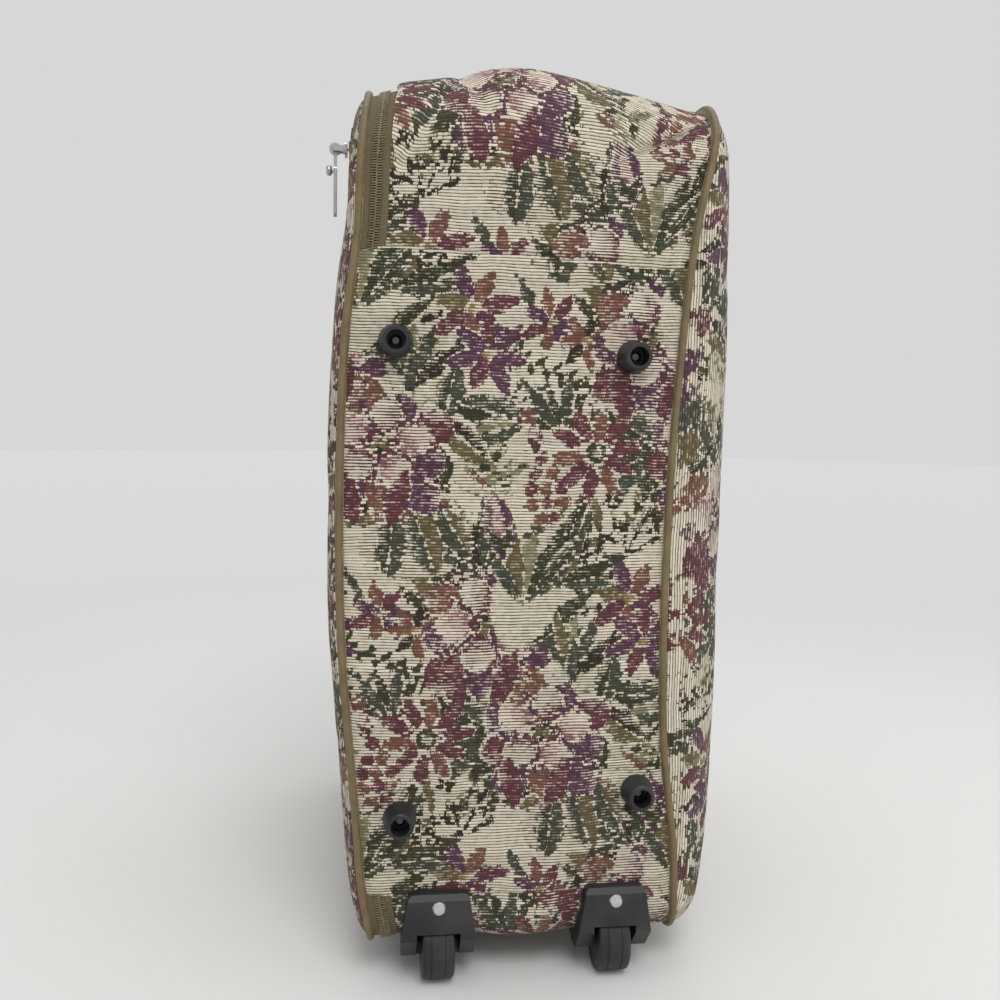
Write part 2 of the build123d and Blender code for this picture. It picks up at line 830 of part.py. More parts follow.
def pocket_slider():
    """Slider plate over the pocket chain, with a bail running lengthwise for the pull's eye."""
    pin_x, y, z = pocket_pin()
    plate_x = pin_x + bail_height
    plane = Plane(origin=(plate_x, y, z), x_dir=(0, 1, 0), z_dir=(1, 0, 0))
    plate = RectangleRounded(pocket_slider_length, pocket_slider_width, slider_round)
    body = extrude(plane * plate, amount=slider_plate)
    half = slider_post_length / 2
    thin = (chain_gap - 2 * pocket_post_gap) / 2
    post_end = plate_x + slider_plate + pocket_slider_gap + pocket_tooth_height / 2
    body = body + box_between((plate_x, y - half, z - thin), (post_end, y + half, z + thin))
    post_reach = pocket_slider_length / 2 - slider_round
    for side in (-1, 1):
        middle = y + side * (post_reach - bail_post / 2)
        low = (pin_x - bail_pin_radius, middle - bail_post / 2, z - bail_post)
        body = body + box_between(low, (plate_x, middle + bail_post / 2, z + bail_post))
    return body + rod((pin_x, y - post_reach, z), (0, 1, 0), bail_pin_radius, 2 * post_reach)


def pocket_pull():
    """Eye ring, neck, ball-headed stud and long flat tab, hanging from the bail."""
    x, y, z = pocket_pin()
    thick = eye_ring_thickness / 2
    eye = rod((x, y - thick, z), (0, 1, 0), eye_ring_radius, eye_ring_thickness)
    half = pocket_pull_thickness / 2
    narrow = neck_width / 2
    neck = box_between((x - half, y - narrow, z - stud_drop), (x + half, y + narrow, z))
    wide = pocket_pull_width / 2
    top = z - stud_drop + stud_radius
    tab = box_between((x - half, y - wide, z - pocket_pull_length), (x + half, y + wide, top))
    tab = fillet(tab.edges().filter_by(Axis.X), pocket_pull_round)
    stud = rod((x - half - stud_reach, y, z - stud_drop), (1, 0, 0), stud_radius / 2, stud_reach + half)
    button = rod((x - half - stud_reach, y, z - stud_drop), (-1, 0, 0), stud_radius, button_height)
    button = fillet(button.edges().filter_by(GeomType.CIRCLE), button_round)
    body = eye + neck + tab + stud + button
    hole_start = (x, y - case_depth, z)
    return body - rod(hole_start, (0, 1, 0), bail_pin_radius + bail_pin_gap, 2 * case_depth)


def all_pieces():
    pieces = {
        "side_wall": side_wall(),
        "back_panel": back_panel(),
        "lid_panel": lid_panel(),
        "back_piping": piping(back_x, 0),
        "lid_piping": piping(front_x, -2 * piping_radius),
        "front_frame_band": frame_band(front_x, zip_width + band_offset),
        "rear_frame_band": frame_band(back_x, -band_width - band_offset),
        "body_lining": body_lining(),
        "lid_lining": lid_lining(),
        "zip_slider_upper": zip_slider(upper_slider_height),
        "zip_slider_lower": zip_slider(lower_slider_height),
        "zip_pull_upper": zip_pull(upper_slider_height),
        "zip_pull_lower": zip_pull(lower_slider_height),
        "pocket_slider": pocket_slider(),
        "pocket_pull": pocket_pull(),
    }
    for group in (main_zipper, boards, feet, wheels, carrying_handle, top_end, pocket_zipper):
        pieces.update(group())
    return pieces


pieces = all_pieces()
whole = Compound([Compound(piece.solids()) for piece in pieces.values()]).bounding_box()
to_origin = Pos(-(whole.min.X + whole.max.X) / 2, -(whole.min.Y + whole.max.Y) / 2, 0)
os.makedirs("parts", exist_ok=True)
for name, piece in pieces.items():
    solids = (to_origin * Compound(piece.solids())).solids()
    shape = solids[0] if len(solids) == 1 else Compound(solids)
    export_step(shape, os.path.join("parts", name + ".step"))
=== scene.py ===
"""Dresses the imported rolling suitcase: tapestry cloth, piping, zippers, linings, finishes and the studio stage."""

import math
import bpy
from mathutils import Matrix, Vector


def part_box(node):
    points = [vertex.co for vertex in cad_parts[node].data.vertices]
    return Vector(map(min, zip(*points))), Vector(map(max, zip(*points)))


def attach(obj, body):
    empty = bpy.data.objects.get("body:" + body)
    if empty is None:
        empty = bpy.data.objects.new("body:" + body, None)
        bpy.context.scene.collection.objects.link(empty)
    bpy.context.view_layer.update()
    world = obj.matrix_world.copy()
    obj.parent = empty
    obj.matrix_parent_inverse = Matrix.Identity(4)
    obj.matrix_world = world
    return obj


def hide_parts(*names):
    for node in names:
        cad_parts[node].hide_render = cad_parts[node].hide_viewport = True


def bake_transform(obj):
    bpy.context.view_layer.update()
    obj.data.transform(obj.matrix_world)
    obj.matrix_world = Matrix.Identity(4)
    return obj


bl_info = {
    "name": "Tapestry rolling suitcase",
    "version": (1, 0, 0),
    "blender": (4, 5, 0),
    "location": "View3D > Sidebar > Suitcase",
    "description": "Models the soft pieces and finishes of a tapestry rolling suitcase on its packed solids",
    "category": "Object",
}

import bpy
import numpy as np
from mathutils import Matrix, Vector

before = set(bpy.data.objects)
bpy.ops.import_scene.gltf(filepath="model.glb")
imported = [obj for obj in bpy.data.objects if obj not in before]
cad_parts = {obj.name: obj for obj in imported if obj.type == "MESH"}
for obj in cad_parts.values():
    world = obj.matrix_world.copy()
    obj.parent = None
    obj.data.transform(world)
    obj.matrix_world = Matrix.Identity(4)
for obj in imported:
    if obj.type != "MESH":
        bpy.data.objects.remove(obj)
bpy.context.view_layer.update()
MM = 0.001
THREADS = ("sage", "olive", "moss", "slate", "bark", "rust", "ochre", "rose", "wine", "plum")
SIDE_FEET = ("side_foot_lower_front", "side_foot_lower_back", "side_foot_upper_front", "side_foot_upper_back")
END_FEET = ("end_foot_front", "end_foot_back")
HOUSINGS = ("wheel_housing_front", "wheel_housing_back")
WHEELS = ("wheel_front", "wheel_back")


# ---------------------------------------------------------------- settings
def screen(*levels):
    """A colour given in 0-255 screen levels, as Blender's linear colour."""
    shares = [level / 255 for level in levels]
    return tuple(s / 12.92 if s < 0.04045 else ((s + 0.055) / 1.055) ** 2.4 for s in shares)


def length(name, description, default):
    return bpy.props.FloatProperty(
        name=name, description=description, default=default, min=0.0, unit="LENGTH", precision=4
    )


def colour(name, description, *levels):
    return bpy.props.FloatVectorProperty(
        name=name, description=description, default=screen(*levels), subtype="COLOR", size=3, min=0.0, max=1.0
    )


class SuitcaseSizes(bpy.types.PropertyGroup):
    """Lengths of the soft pieces, in metres."""

    depth: length("Case depth", "Between the two seams at the bottom end", 0.220)
    top_flare: length("Top flare", "How much deeper the case is at its top end", 0.014)
    near_bow: length("Bow, feet side", "How far the seams bow towards the lid on the feet side", 0.019)
    far_bow: length("Bow, carrying side", "How far the seams bow on the carrying side", 0.0003)
    top_corner: length("Top corner radius", "Radius of the case's two top corners", 0.048)
    base_corner: length("Base corner radius", "Radius of the case's two bottom corners", 0.024)
    wall: length("Cloth thickness", "Padded cloth from skin to skin", 0.005)
    zip_width: length("Zipper width", "Both tapes and the chain", 0.0172)
    hinge_low: length("Hinge start", "Height of the cloth hinge's lower end", 0.066)
    hinge_high: length("Hinge end", "Height of the cloth hinge's upper end", 0.521)
    lid_bulge: length("Lid bulge", "How far the lid stands in front of its seam", 0.011)
    back_reach: length("Back reach", "How far the back panel's middle stands behind the case's middle", 0.149)
    piping: length("Piping radius", "Radius of the vinyl piping", 0.0026)
    tooth_pitch: length("Tooth pitch", "Distance from one zipper tooth to the next", 0.0018)
    rib: length("Rib pitch", "Distance between the cloth's ribs", 0.0021)
    warp: length("Warp pitch", "Distance between the threads along a rib", 0.0009)
    repeat_across: length("Pattern repeat across", "Width of the woven pattern's repeat", 0.231)
    repeat_drop: length("Pattern half drop", "Height between half-drop rows of the woven pattern", 0.202)


class SuitcaseColours(bpy.types.PropertyGroup):
    """Colours of the finishes."""

    cream: colour("Cream", "Ground of the tapestry", 232, 222, 201)
    gap: colour("Rib gap", "Dark warp between the ribs", 86, 75, 56)
    sage: colour("Sage", "Pale leaf thread", 140, 136, 104)
    olive: colour("Olive", "Olive leaf thread", 112, 100, 70)
    moss: colour("Moss", "Dark leaf thread", 67, 68, 47)
    slate: colour("Slate", "Grey-green leaf thread", 78, 80, 66)
    bark: colour("Bark", "Dark brown stem thread", 60, 52, 40)
    rust: colour("Rust", "Rust petal thread", 126, 87, 74)
    ochre: colour("Ochre", "Golden heart thread", 152, 128, 84)
    rose: colour("Rose", "Pink petal thread", 148, 103, 108)
    wine: colour("Wine", "Dark red petal thread", 106, 63, 69)
    plum: colour("Plum", "Purple petal thread", 97, 65, 82)
    piping: colour("Piping", "Tan vinyl of the piping", 118, 102, 70)
    vinyl: colour("Handle vinyl", "Vinyl of the handle and the tab", 120, 98, 66)
    tape: colour("Zipper tape", "Woven zipper tape", 112, 101, 74)
    coil: colour("Zipper coil", "Nylon zipper teeth", 124, 112, 86)
    lining: colour("Lining", "Inside lining cloth", 150, 134, 104)
    plastic: colour("Plastic", "Feet and wheel housings", 26, 27, 32)
    tyre: colour("Wheel", "Moulded wheels", 20, 20, 23)
    floor: colour("Floor", "Studio floor", 226, 226, 224)


def sizes():
    return bpy.context.scene.suitcase_sizes


def colours():
    return bpy.context.scene.suitcase_colours


# ---------------------------------------------------------------- seam lines
def hill(value, centre, width):
    return np.exp(-(((value - centre) / width) ** 2))


def ease(value, low, high):
    """0 below low, 1 above high, smooth between."""
    t = np.clip((value - low) / (high - low), 0.0, 1.0)
    return t * t * (3 - 2 * t)


def polar(x, z, reach, angle):
    """The place that lies as far as the reach from another, in the angle's direction."""
    return x + reach * math.cos(angle), z + reach * math.sin(angle)


def box_middle(name):
    """The middle of a solid's box."""
    return [(low + high) / 2 for low, high in zip(*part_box(name))]


class CaseLines:
    """The cloth case's outline and seam lines, from the solids' boxes and the named sizes."""

    def __init__(self):
        size = sizes()
        low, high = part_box("side_wall")
        self.near, self.base = low[1], low[2]
        self.far, self.top = high[1], high[2]
        front_foot, back_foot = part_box("end_foot_front"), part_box("end_foot_back")
        self.middle = (front_foot[0][0] + back_foot[1][0]) / 2 - 4 * MM
        self.top_radius, self.base_radius = size.top_corner, size.base_corner
        self.size = size
        self.run = self.spans()

    def spans(self):
        """Lengths of the nine runs of the outline, from the middle of the bottom towards the feet side."""
        base_turn, top_turn = math.pi * self.base_radius / 2, math.pi * self.top_radius / 2
        half = (self.far - self.near) / 2
        base, top = half - self.base_radius, 2 * (half - self.top_radius)
        tall = self.top - self.base - self.top_radius - self.base_radius
        return [base, base_turn, tall, top_turn, top, top_turn, tall, base_turn, base]

    def near_height(self, s):
        """The cloth's height on the feet side, carried on round the corners by its length."""
        return s - self.run[0] - self.run[1] + self.base + self.base_radius

    def near_share(self, y):
        return np.clip((self.far - y) / (self.far - self.near), 0.0, 1.0)

    def bow(self, y, z):
        t = (z - self.base) / (self.top - self.base)
        share = self.near_share(y)
        depth = self.size.far_bow + (self.size.near_bow - self.size.far_bow) * share
        return 4 * depth * t * (1 - t)

    def front(self, y, z):
        """X of the lid's seam, drawn in by a few millimetres at three heights on the feet side."""
        drawn = 3.5 * hill(z, 0.53, 0.045) + 3.5 * hill(z, 0.13, 0.09) + 4 * hill(z, 0.032, 0.03)
        return self.middle - self.size.depth / 2 - self.bow(y, z) + drawn * MM * self.near_share(y) ** 2

    def back(self, y, z):
        """X of the back panel's seam, spread by a few millimetres near both ends on the feet side."""
        t = (z - self.base) / (self.top - self.base)
        spread = 5 * hill(z, 0.61, 0.05) + 6 * hill(z, 0.09, 0.06)
        straight = self.middle + self.size.depth / 2 + self.size.top_flare * t
        return straight - self.bow(y, z) + spread * MM * self.near_share(y) ** 2

    def slump(self, x, y, z):
        """How far the soft top corner on the feet side hangs down, most at the lid's seam."""
        corner = ease(z, self.top - 0.11, self.top - 0.02) * (1 - ease(y, self.near + 0.02, self.near + 0.17))
        lid = np.clip((self.front(y, z) + self.size.zip_width - x) / self.size.zip_width, 0.0, 1.0)
        seam = self.back(y, z)
        return corner * (5 * lid + 2 * ease(x, seam - 0.05, seam)) * MM

    def rows(self, steps):
        """Places along the outline as (run, share) pairs, one step length for each of the nine runs."""
        places = []
        for run, (span, step) in enumerate(zip(self.run, steps)):
            count = max(2, round(span / step))
            places += [(run, k / count) for k in range(count)]
        return np.array(places)

    def distance(self, rows):
        start = np.concatenate([[0.0], np.cumsum(self.run)])[:-1]
        run = rows[:, 0].astype(int)
        return start[run] + rows[:, 1] * np.array(self.run)[run]

    def ring(self, rows, inset=0.0):
        """Y, Z and the outward direction at each place of the outline, drawn in by the inset."""
        near, far = self.near + inset, self.far - inset
        base, top = self.base + inset, self.top - inset
        low = max(self.base_radius - inset, 0.0)
        high = max(self.top_radius - inset, 0.0)
        middle = (near + far) / 2
        corners = [
            ((middle, base), (near + low, base)),
            (near + low, base + low, low),
            ((near, base + low), (near, top - high)),
            (near + high, top - high, high),
            ((near + high, top), (far - high, top)),
            (far - high, top - high, high),
            ((far, top - high), (far, base + low)),
            (far - low, base + low, low),
            ((far - low, base), (middle, base)),
        ]
        y, z, out_y, out_z = (np.zeros(len(rows)) for _ in range(4))
        for run, place in enumerate(corners):
            here = rows[:, 0] == run
            share = rows[here, 1]
            if run % 2:
                angle = -math.pi / 2 * (1 + (run - 1) // 2 + share)
                out_y[here], out_z[here] = np.cos(angle), np.sin(angle)
                y[here] = place[0] + place[2] * out_y[here]
                z[here] = place[1] + place[2] * out_z[here]
            else:
                (y0, z0), (y1, z1) = place
                angle = -math.pi / 2 * (1 + run // 2)
                out_y[here], out_z[here] = math.cos(angle), math.sin(angle)
                y[here] = y0 + (y1 - y0) * share
                z[here] = z0 + (z1 - z0) * share
        return y, z, out_y, out_z

    def edge_distance(self, y, z):
        """How far a point of the outline's plane lies inside the outline."""
        half_y, half_z = (self.far - self.near) / 2, (self.top - self.base) / 2
        middle = (self.base + self.top) / 2
        radius = np.where(z < middle, self.base_radius, self.top_radius)
        a = np.abs(y - (self.near + self.far) / 2) - half_y + radius
        b = np.abs(z - middle) - half_z + radius
        outside = np.hypot(np.maximum(a, 0), np.maximum(b, 0)) + np.minimum(np.maximum(a, b), 0)
        return np.maximum(radius - outside, 0.0)

    def face_grid(self, step, inset=0.0):
        """Y and Z of a grid that fills the outline, its border on the rounded corners."""
        near, far = self.near + inset, self.far - inset
        base, top = self.base + inset, self.top - inset
        base_radius, top_radius = max(self.base_radius - inset, MM), max(self.top_radius - inset, MM)
        cut, top_cut = base_radius * (1 - math.sqrt(0.5)), top_radius * (1 - math.sqrt(0.5))
        across = max(8, round((far - near) / step))
        up = max(8, round((top - base) / step))

        def side(count, span, start, end):
            """One border between two corners' middles: along, and how far it stands in at each place."""
            first_arc, last_arc = math.pi / 4 * start, math.pi / 4 * end
            straight = span - start - end
            way = np.linspace(0, straight + first_arc + last_arc, count + 1)
            along, out = np.empty_like(way), np.zeros_like(way)
            first, last = way < first_arc, way > first_arc + straight
            turn = math.pi / 4 + way[first] / start
            along[first] = start - start * np.cos(turn)
            out[first] = start - start * np.sin(turn)
            flat = ~(first | last)
            along[flat] = start + way[flat] - first_arc
            turn = (way[last] - first_arc - straight) / end
            along[last] = span - end + end * np.sin(turn)
            out[last] = end - end * np.cos(turn)
            return along, out

        along, out = side(across, far - near, base_radius, base_radius)
        low = np.stack([near + along, base + out], axis=-1)
        along, out = side(across, far - near, top_radius, top_radius)
        high = np.stack([near + along, top - out], axis=-1)
        along, out = side(up, top - base, base_radius, top_radius)
        left = np.stack([near + out, base + along], axis=-1)
        right = np.stack([far - out, base + along], axis=-1)
        u = np.linspace(0, 1, across + 1)[None, :, None]
        v = np.linspace(0, 1, up + 1)[:, None, None]
        grid = (1 - v) * low[None] + v * high[None] + (1 - u) * left[:, None] + u * right[:, None]
        p, q = np.array([near + cut, base + cut]), np.array([far - cut, base + cut])
        r, t = np.array([near + top_cut, top - top_cut]), np.array([far - top_cut, top - top_cut])
        grid = grid - ((1 - u) * (1 - v) * p + u * (1 - v) * q + (1 - u) * v * r + u * v * t)
        return grid[..., 0], grid[..., 1]

    def lid_face(self, y, z):
        """X of the lid's cloth."""
        depth = self.edge_distance(y, z)
        t = np.clip(depth / (20 * MM), 0, 1)
        crown = self.size.lid_bulge * np.sqrt(np.maximum(1 - (1 - t) ** 2, 0))
        below_pocket = ease(self.top - z, 0.06, 0.16)
        crown = crown + 2.5 * MM * below_pocket * ease(depth, 0.01, 0.12)
        return self.front(y, z) - crown

    def back_face(self, y, z):
        """X of the back panel's cloth."""
        depth = self.edge_distance(y, z)
        t = np.clip(depth / (40 * MM), 0, 1)
        ends = np.clip(np.minimum(z - self.base, self.top - z) / 0.15, 0, 1)
        full = self.middle + self.size.back_reach - self.back(y, z)
        full = full * (0.5 + 0.5 * np.sqrt(np.maximum(1 - (1 - ends) ** 2, 0)))
        return self.back(y, z) + full * np.maximum(1 - (1 - t) ** 2.2, 0) ** (1 / 2.2)


def noise(a, b, reach, seed):
    """A smooth field from -1 to 1 with waves about as long as the reach."""
    draw = np.random.default_rng(seed)
    total = np.zeros_like(a)
    for _ in range(7):
        turn, phase = draw.uniform(0, 2 * math.pi, 2)
        wave = 2 * math.pi / (reach * draw.uniform(0.7, 1.5))
        total = total + np.sin(wave * (a * math.cos(turn) + b * math.sin(turn)) + phase)
    return total / 3.2


# ---------------------------------------------------------------- woven pattern
class Weaving:
    """Flowers and leaves as signed distances, one field for each thread colour, at a cloth's points."""

    def __init__(self, across, up):
        self.order = np.argsort(up.ravel())
        self.across = across.ravel()[self.order]
        self.up = up.ravel()[self.order]
        self.fields = np.full((len(THREADS), self.up.size), 20 * MM)
        self.pale = np.zeros(self.up.size)

    def lay(self, thread, x, z, reach, pale, shape):
        """Weaves a shape in one thread over what is there, paler by its place. No thread leaves the bare ground."""
        first, last = np.searchsorted(self.up, (z - reach, z + reach))
        here = first + np.flatnonzero(np.abs(self.across[first:last] - x) < reach)
        if not here.size:
            return
        d, p, q = shape(self.across[here] - x, self.up[here] - z)
        block = self.fields[:, here]
        kept = np.maximum(block, -d)
        if thread:
            k = THREADS.index(thread)
            kept[k] = np.minimum(block[k], d)
        self.fields[:, here] = kept
        level, along, aside = pale
        self.pale[here] = np.where(d < 0.8 * MM, level + along * p + aside * q, self.pale[here])

    def oval(self, thread, x, z, long, wide, angle=0.0, pale=(0.15, 0.0, 0.0)):
        c, s = math.cos(angle), math.sin(angle)

        def shape(a, b):
            p, q = (a * c + b * s) / long, (b * c - a * s) / wide
            return (np.hypot(p, q) - 1) * min(long, wide), p, q

        self.lay(thread, x, z, max(long, wide) + 6 * MM, pale, shape)

    def blade(self, thread, x, z, long, wide, angle, pale=(0.2, 0.1, 0.25), half=0):
        """A leaf shape with two points; half keeps one side of its middle line."""
        c, s = math.cos(angle), math.sin(angle)
        arc = (long * long + wide * wide) / (2 * wide)

        def shape(a, b):
            p, q = a * c + b * s, b * c - a * s
            d = np.hypot(p, np.abs(q) + arc - wide) - arc
            d = np.maximum(d, 0.4 * MM - half * q) if half else d
            return d, p / long, q / wide

        self.lay(thread, x, z, long + 6 * MM, pale, shape)

    def stem(self, thread, x0, z0, x1, z1, wide):
        x, z = (x0 + x1) / 2, (z0 + z1) / 2
        along = math.hypot(x1 - x0, z1 - z0)
        c, s = (x1 - x0) / along, (z1 - z0) / along

        def shape(a, b):
            p, q = a * c + b * s, b * c - a * s
            return np.hypot(np.maximum(np.abs(p) - along / 2, 0), q) - wide, 0 * p, 0 * q

        self.lay(thread, x, z, along / 2 + 6 * MM, (0.1, 0.0, 0.0), shape)

    def ray(self, thread, x, z, angle, start, end, wide):
        self.stem(thread, *polar(x, z, start, angle), *polar(x, z, end, angle), wide)

    def around(self, count, start):
        return [start + 2 * math.pi * k / count for k in range(count)]

    def rose(self, x, z, size, angle, threads):
        """An open rose: dark outer petals, a pale cup with bare rims and a golden heart above its middle."""
        outer, second, inner = threads
        for k, a in enumerate(self.around(9, angle)):
            stretch = 1 + 0.2 * math.sin(5 * a + 3 * angle)
            px, pz = x + 0.6 * stretch * size * math.cos(a), z + 0.54 * stretch * size * math.sin(a)
            self.oval((outer, second, outer, "rust")[k % 4], px, pz, 0.42 * size, 0.27 * size, a, (0.16, 0.26, 0.28))
        for a in self.around(9, angle + 0.35):
            self.ray(None, x, z, a, 0.66 * size, 0.98 * size, 0.9 * MM)
        self.oval(second, x, z, 0.5 * size, 0.42 * size, 0.0, (0.1, 0.0, 0.0))
        hx, hz = x - 0.04 * size, z + 0.16 * size
        for k, a in enumerate(self.around(5, angle + 0.3)):
            px, pz = hx + 0.4 * size * math.cos(a), hz + 0.34 * size * math.sin(a)
            self.oval(None, px, pz, 0.34 * size, 0.25 * size, a)
            self.oval((inner, second)[k % 2], px, pz, 0.29 * size, 0.2 * size, a, (0.62, 0.3, 0.25))
        for a in self.around(5, angle + 0.93):
            self.ray(outer, hx, hz, a, 0.16 * size, 0.62 * size, 1.5 * MM)
        self.oval(second, hx, hz, 0.27 * size, 0.2 * size)
        self.oval("olive", hx, hz, 0.19 * size, 0.14 * size, 0.5, (0.35, 0.2, 0.3))
        for a in self.around(4, angle):
            px, pz = hx + 0.16 * size * math.cos(a), hz + 0.12 * size * math.sin(a)
            self.oval("bark", px, pz, 0.06 * size, 0.05 * size, a)
        for side in (-0.5, 0.2):
            px, pz = x + side * size, z - 0.62 * size
            self.blade(second, px, pz, 0.42 * size, 0.17 * size, math.radians(80 - 50 * side), (0.15, 0.2, 0.3))

    def daisy(self, x, z, size, angle, threads):
        petal, other, heart = threads
        for k, a in enumerate(self.around(10, angle)):
            px, pz = polar(x, z, 0.62 * size * (1 + 0.12 * math.sin(3 * a)), a)
            self.oval((petal, petal, other)[k % 3], px, pz, 0.36 * size, 0.15 * size, a, (0.16, 0.1, 0.22))
        self.oval(heart, x, z, 0.22 * size, 0.22 * size)
        self.oval("olive", x, z, 0.1 * size, 0.1 * size, 0.0, (0.5, 0.0, 0.0))

    def star(self, x, z, size, angle, threads):
        for k, a in enumerate(self.around(7, angle)):
            px, pz = polar(x, z, 0.52 * size * (1 + 0.15 * math.sin(4 * a)), a)
            self.blade(threads[k % len(threads)], px, pz, 0.5 * size, 0.19 * size, a, (0.16, 0.05, 0.3))
        self.oval("ochre", x, z, 0.17 * size, 0.11 * size, 0.3, (0.4, 0.3, 0.0))

    def leaf(self, x, z, size, angle, threads, slim=0.44):
        long = size / 2
        self.blade(threads[0], x, z, long, slim * long, angle, (0.14, 0.1, 0.36))
        if len(threads) > 1:
            self.blade(threads[1], x, z, 0.92 * long, 0.85 * slim * long, angle, (0.1, 0.2, 0.45), half=1)
        if slim > 0.3 and size > 28 * MM:
            self.ray(None, x, z, angle, -0.34 * size, 0.26 * size, 0.55 * MM)

    def slip(self, x, z, size, angle, threads):
        self.leaf(x, z, size, angle, threads, slim=0.2)

    def fern(self, x, z, size, angle, threads):
        count = max(4, round(size / (5.5 * MM)))
        self.ray(threads[0], x, z, angle, -size / 2, size / 2, 0.7 * MM)
        for k in range(count):
            way = size * (k / (count - 1) - 0.5)
            turn = angle + (1 if k % 2 else -1) * 1.05
            px, pz = polar(*polar(x, z, way, angle), 3.8 * MM, turn)
            self.blade(threads[0], px, pz, 5.4 * MM, 2.1 * MM, turn, (0.08, 0.1, 0.1))

    def twig(self, x, z, size, angle, threads):
        """A forked twig with a small leaf at each end."""
        for turn, share in ((-0.6, 0.7), (0.0, 1.0), (0.6, 0.65)):
            a = angle + turn
            self.ray(threads[0], x, z, a, 0.0, share * size, 0.9 * MM)
            self.blade(threads[-1], *polar(x, z, share * size, a), 6 * MM, 2.3 * MM, a)

    def spray(self, x, z, size, angle, threads):
        """Slim leaves fanning out of one place."""
        fan = ((-0.72, 0.36), (-0.36, 0.48), (0.02, 0.42), (0.34, 0.5), (0.7, 0.34))
        for k, (turn, share) in enumerate(fan):
            a, long = angle + turn, share * size
            px, pz = polar(x, z, long + 2 * MM, a)
            self.blade(threads[k % len(threads)], px, pz, long, 0.19 * long, a, (0.1, 0.2, 0.3))

    def tint(self, x, z, size, angle, threads):
        self.oval(threads[0], x, z, size, 0.55 * size, angle, (0.86, 0.1, 0.05))

    def grape(self, x, z, size, angle, threads):
        """A hanging cluster of small blossoms."""
        c, s = math.cos(angle), math.sin(angle)
        for row, wide in enumerate((1, 2, 3, 3, 2)):
            for k in range(wide):
                p, q = size * (0.42 - 0.2 * row), size * 0.2 * (k - (wide - 1) / 2)
                px, pz = x + p * c - q * s, z + p * s + q * c
                thread = threads[(row + k) % len(threads)]
                self.oval(thread, px, pz, 0.1 * size, 0.085 * size, row, (0.25, 0.3, 0.2))

    def berries(self, x, z, size, angle, threads):
        for k, a in enumerate(self.around(5, angle)):
            self.oval(threads[k % len(threads)], *polar(x, z, 0.62 * size, a), 0.34 * size, 0.34 * size)
        self.oval(threads[0], x, z, 0.32 * size, 0.32 * size)

    def bud(self, x, z, size, angle, threads):
        self.blade(threads[0], x, z, 0.5 * size, 0.23 * size, angle, (0.2, 0.2, 0.4))
        px, pz = polar(x, z, 0.05 * size, angle)
        self.blade(threads[1], px, pz, 0.36 * size, 0.08 * size, angle, (0.6, 0.2, 0.0))
        foot = polar(x, z, -0.34 * size, angle)
        for turn in (angle - 0.5, angle + 0.5):
            self.blade("moss", *polar(*foot, 0.12 * size, turn), 0.24 * size, 0.08 * size, turn)

    def spread(self, shift_x, shift_z):
        """Weaves the whole repeat over the cloth, in half-drop rows."""
        across, drop = sizes().repeat_across, sizes().repeat_drop
        low, high = self.up[0] - MOTIF_REACH, self.up[-1] + MOTIF_REACH
        left, right = self.across.min() - MOTIF_REACH, self.across.max() + MOTIF_REACH
        for row in range(math.floor((low - shift_z) / drop) - 1, math.ceil((high - shift_z) / drop) + 2):
            offset = shift_x + (row % 2) * across / 2
            first, last = math.floor((left - offset) / across) - 1, math.ceil((right - offset) / across) + 1
            for column in range(first, last + 1):
                x0, z0 = offset + column * across, shift_z + row * drop
                for kind, x, z, size, degrees, *threads in MOTIFS:
                    px, pz = x0 + x * MM, z0 + z * MM
                    if low < pz < high and left < px < right:
                        getattr(self, kind)(px, pz, MOTIF_SCALE * size * MM, math.radians(degrees), threads)

    def result(self):
        """The fields and the paleness, back in the order of the points."""
        fields = np.empty((len(THREADS) + 1, self.up.size))
        fields[:, self.order] = np.vstack([self.fields, self.pale])
        return fields


def thread_fields(across, up, shift_x, shift_z):
    """The thread fields of a cloth whose pattern starts at the shift."""
    weaving = Weaving(across, up)
    weaving.spread(shift_x, shift_z)
    return weaving.result()


# How far a motif can reach past the cloth's edge (m), and how much larger than listed each one is woven.
MOTIF_REACH, MOTIF_SCALE = 0.08, 1.14
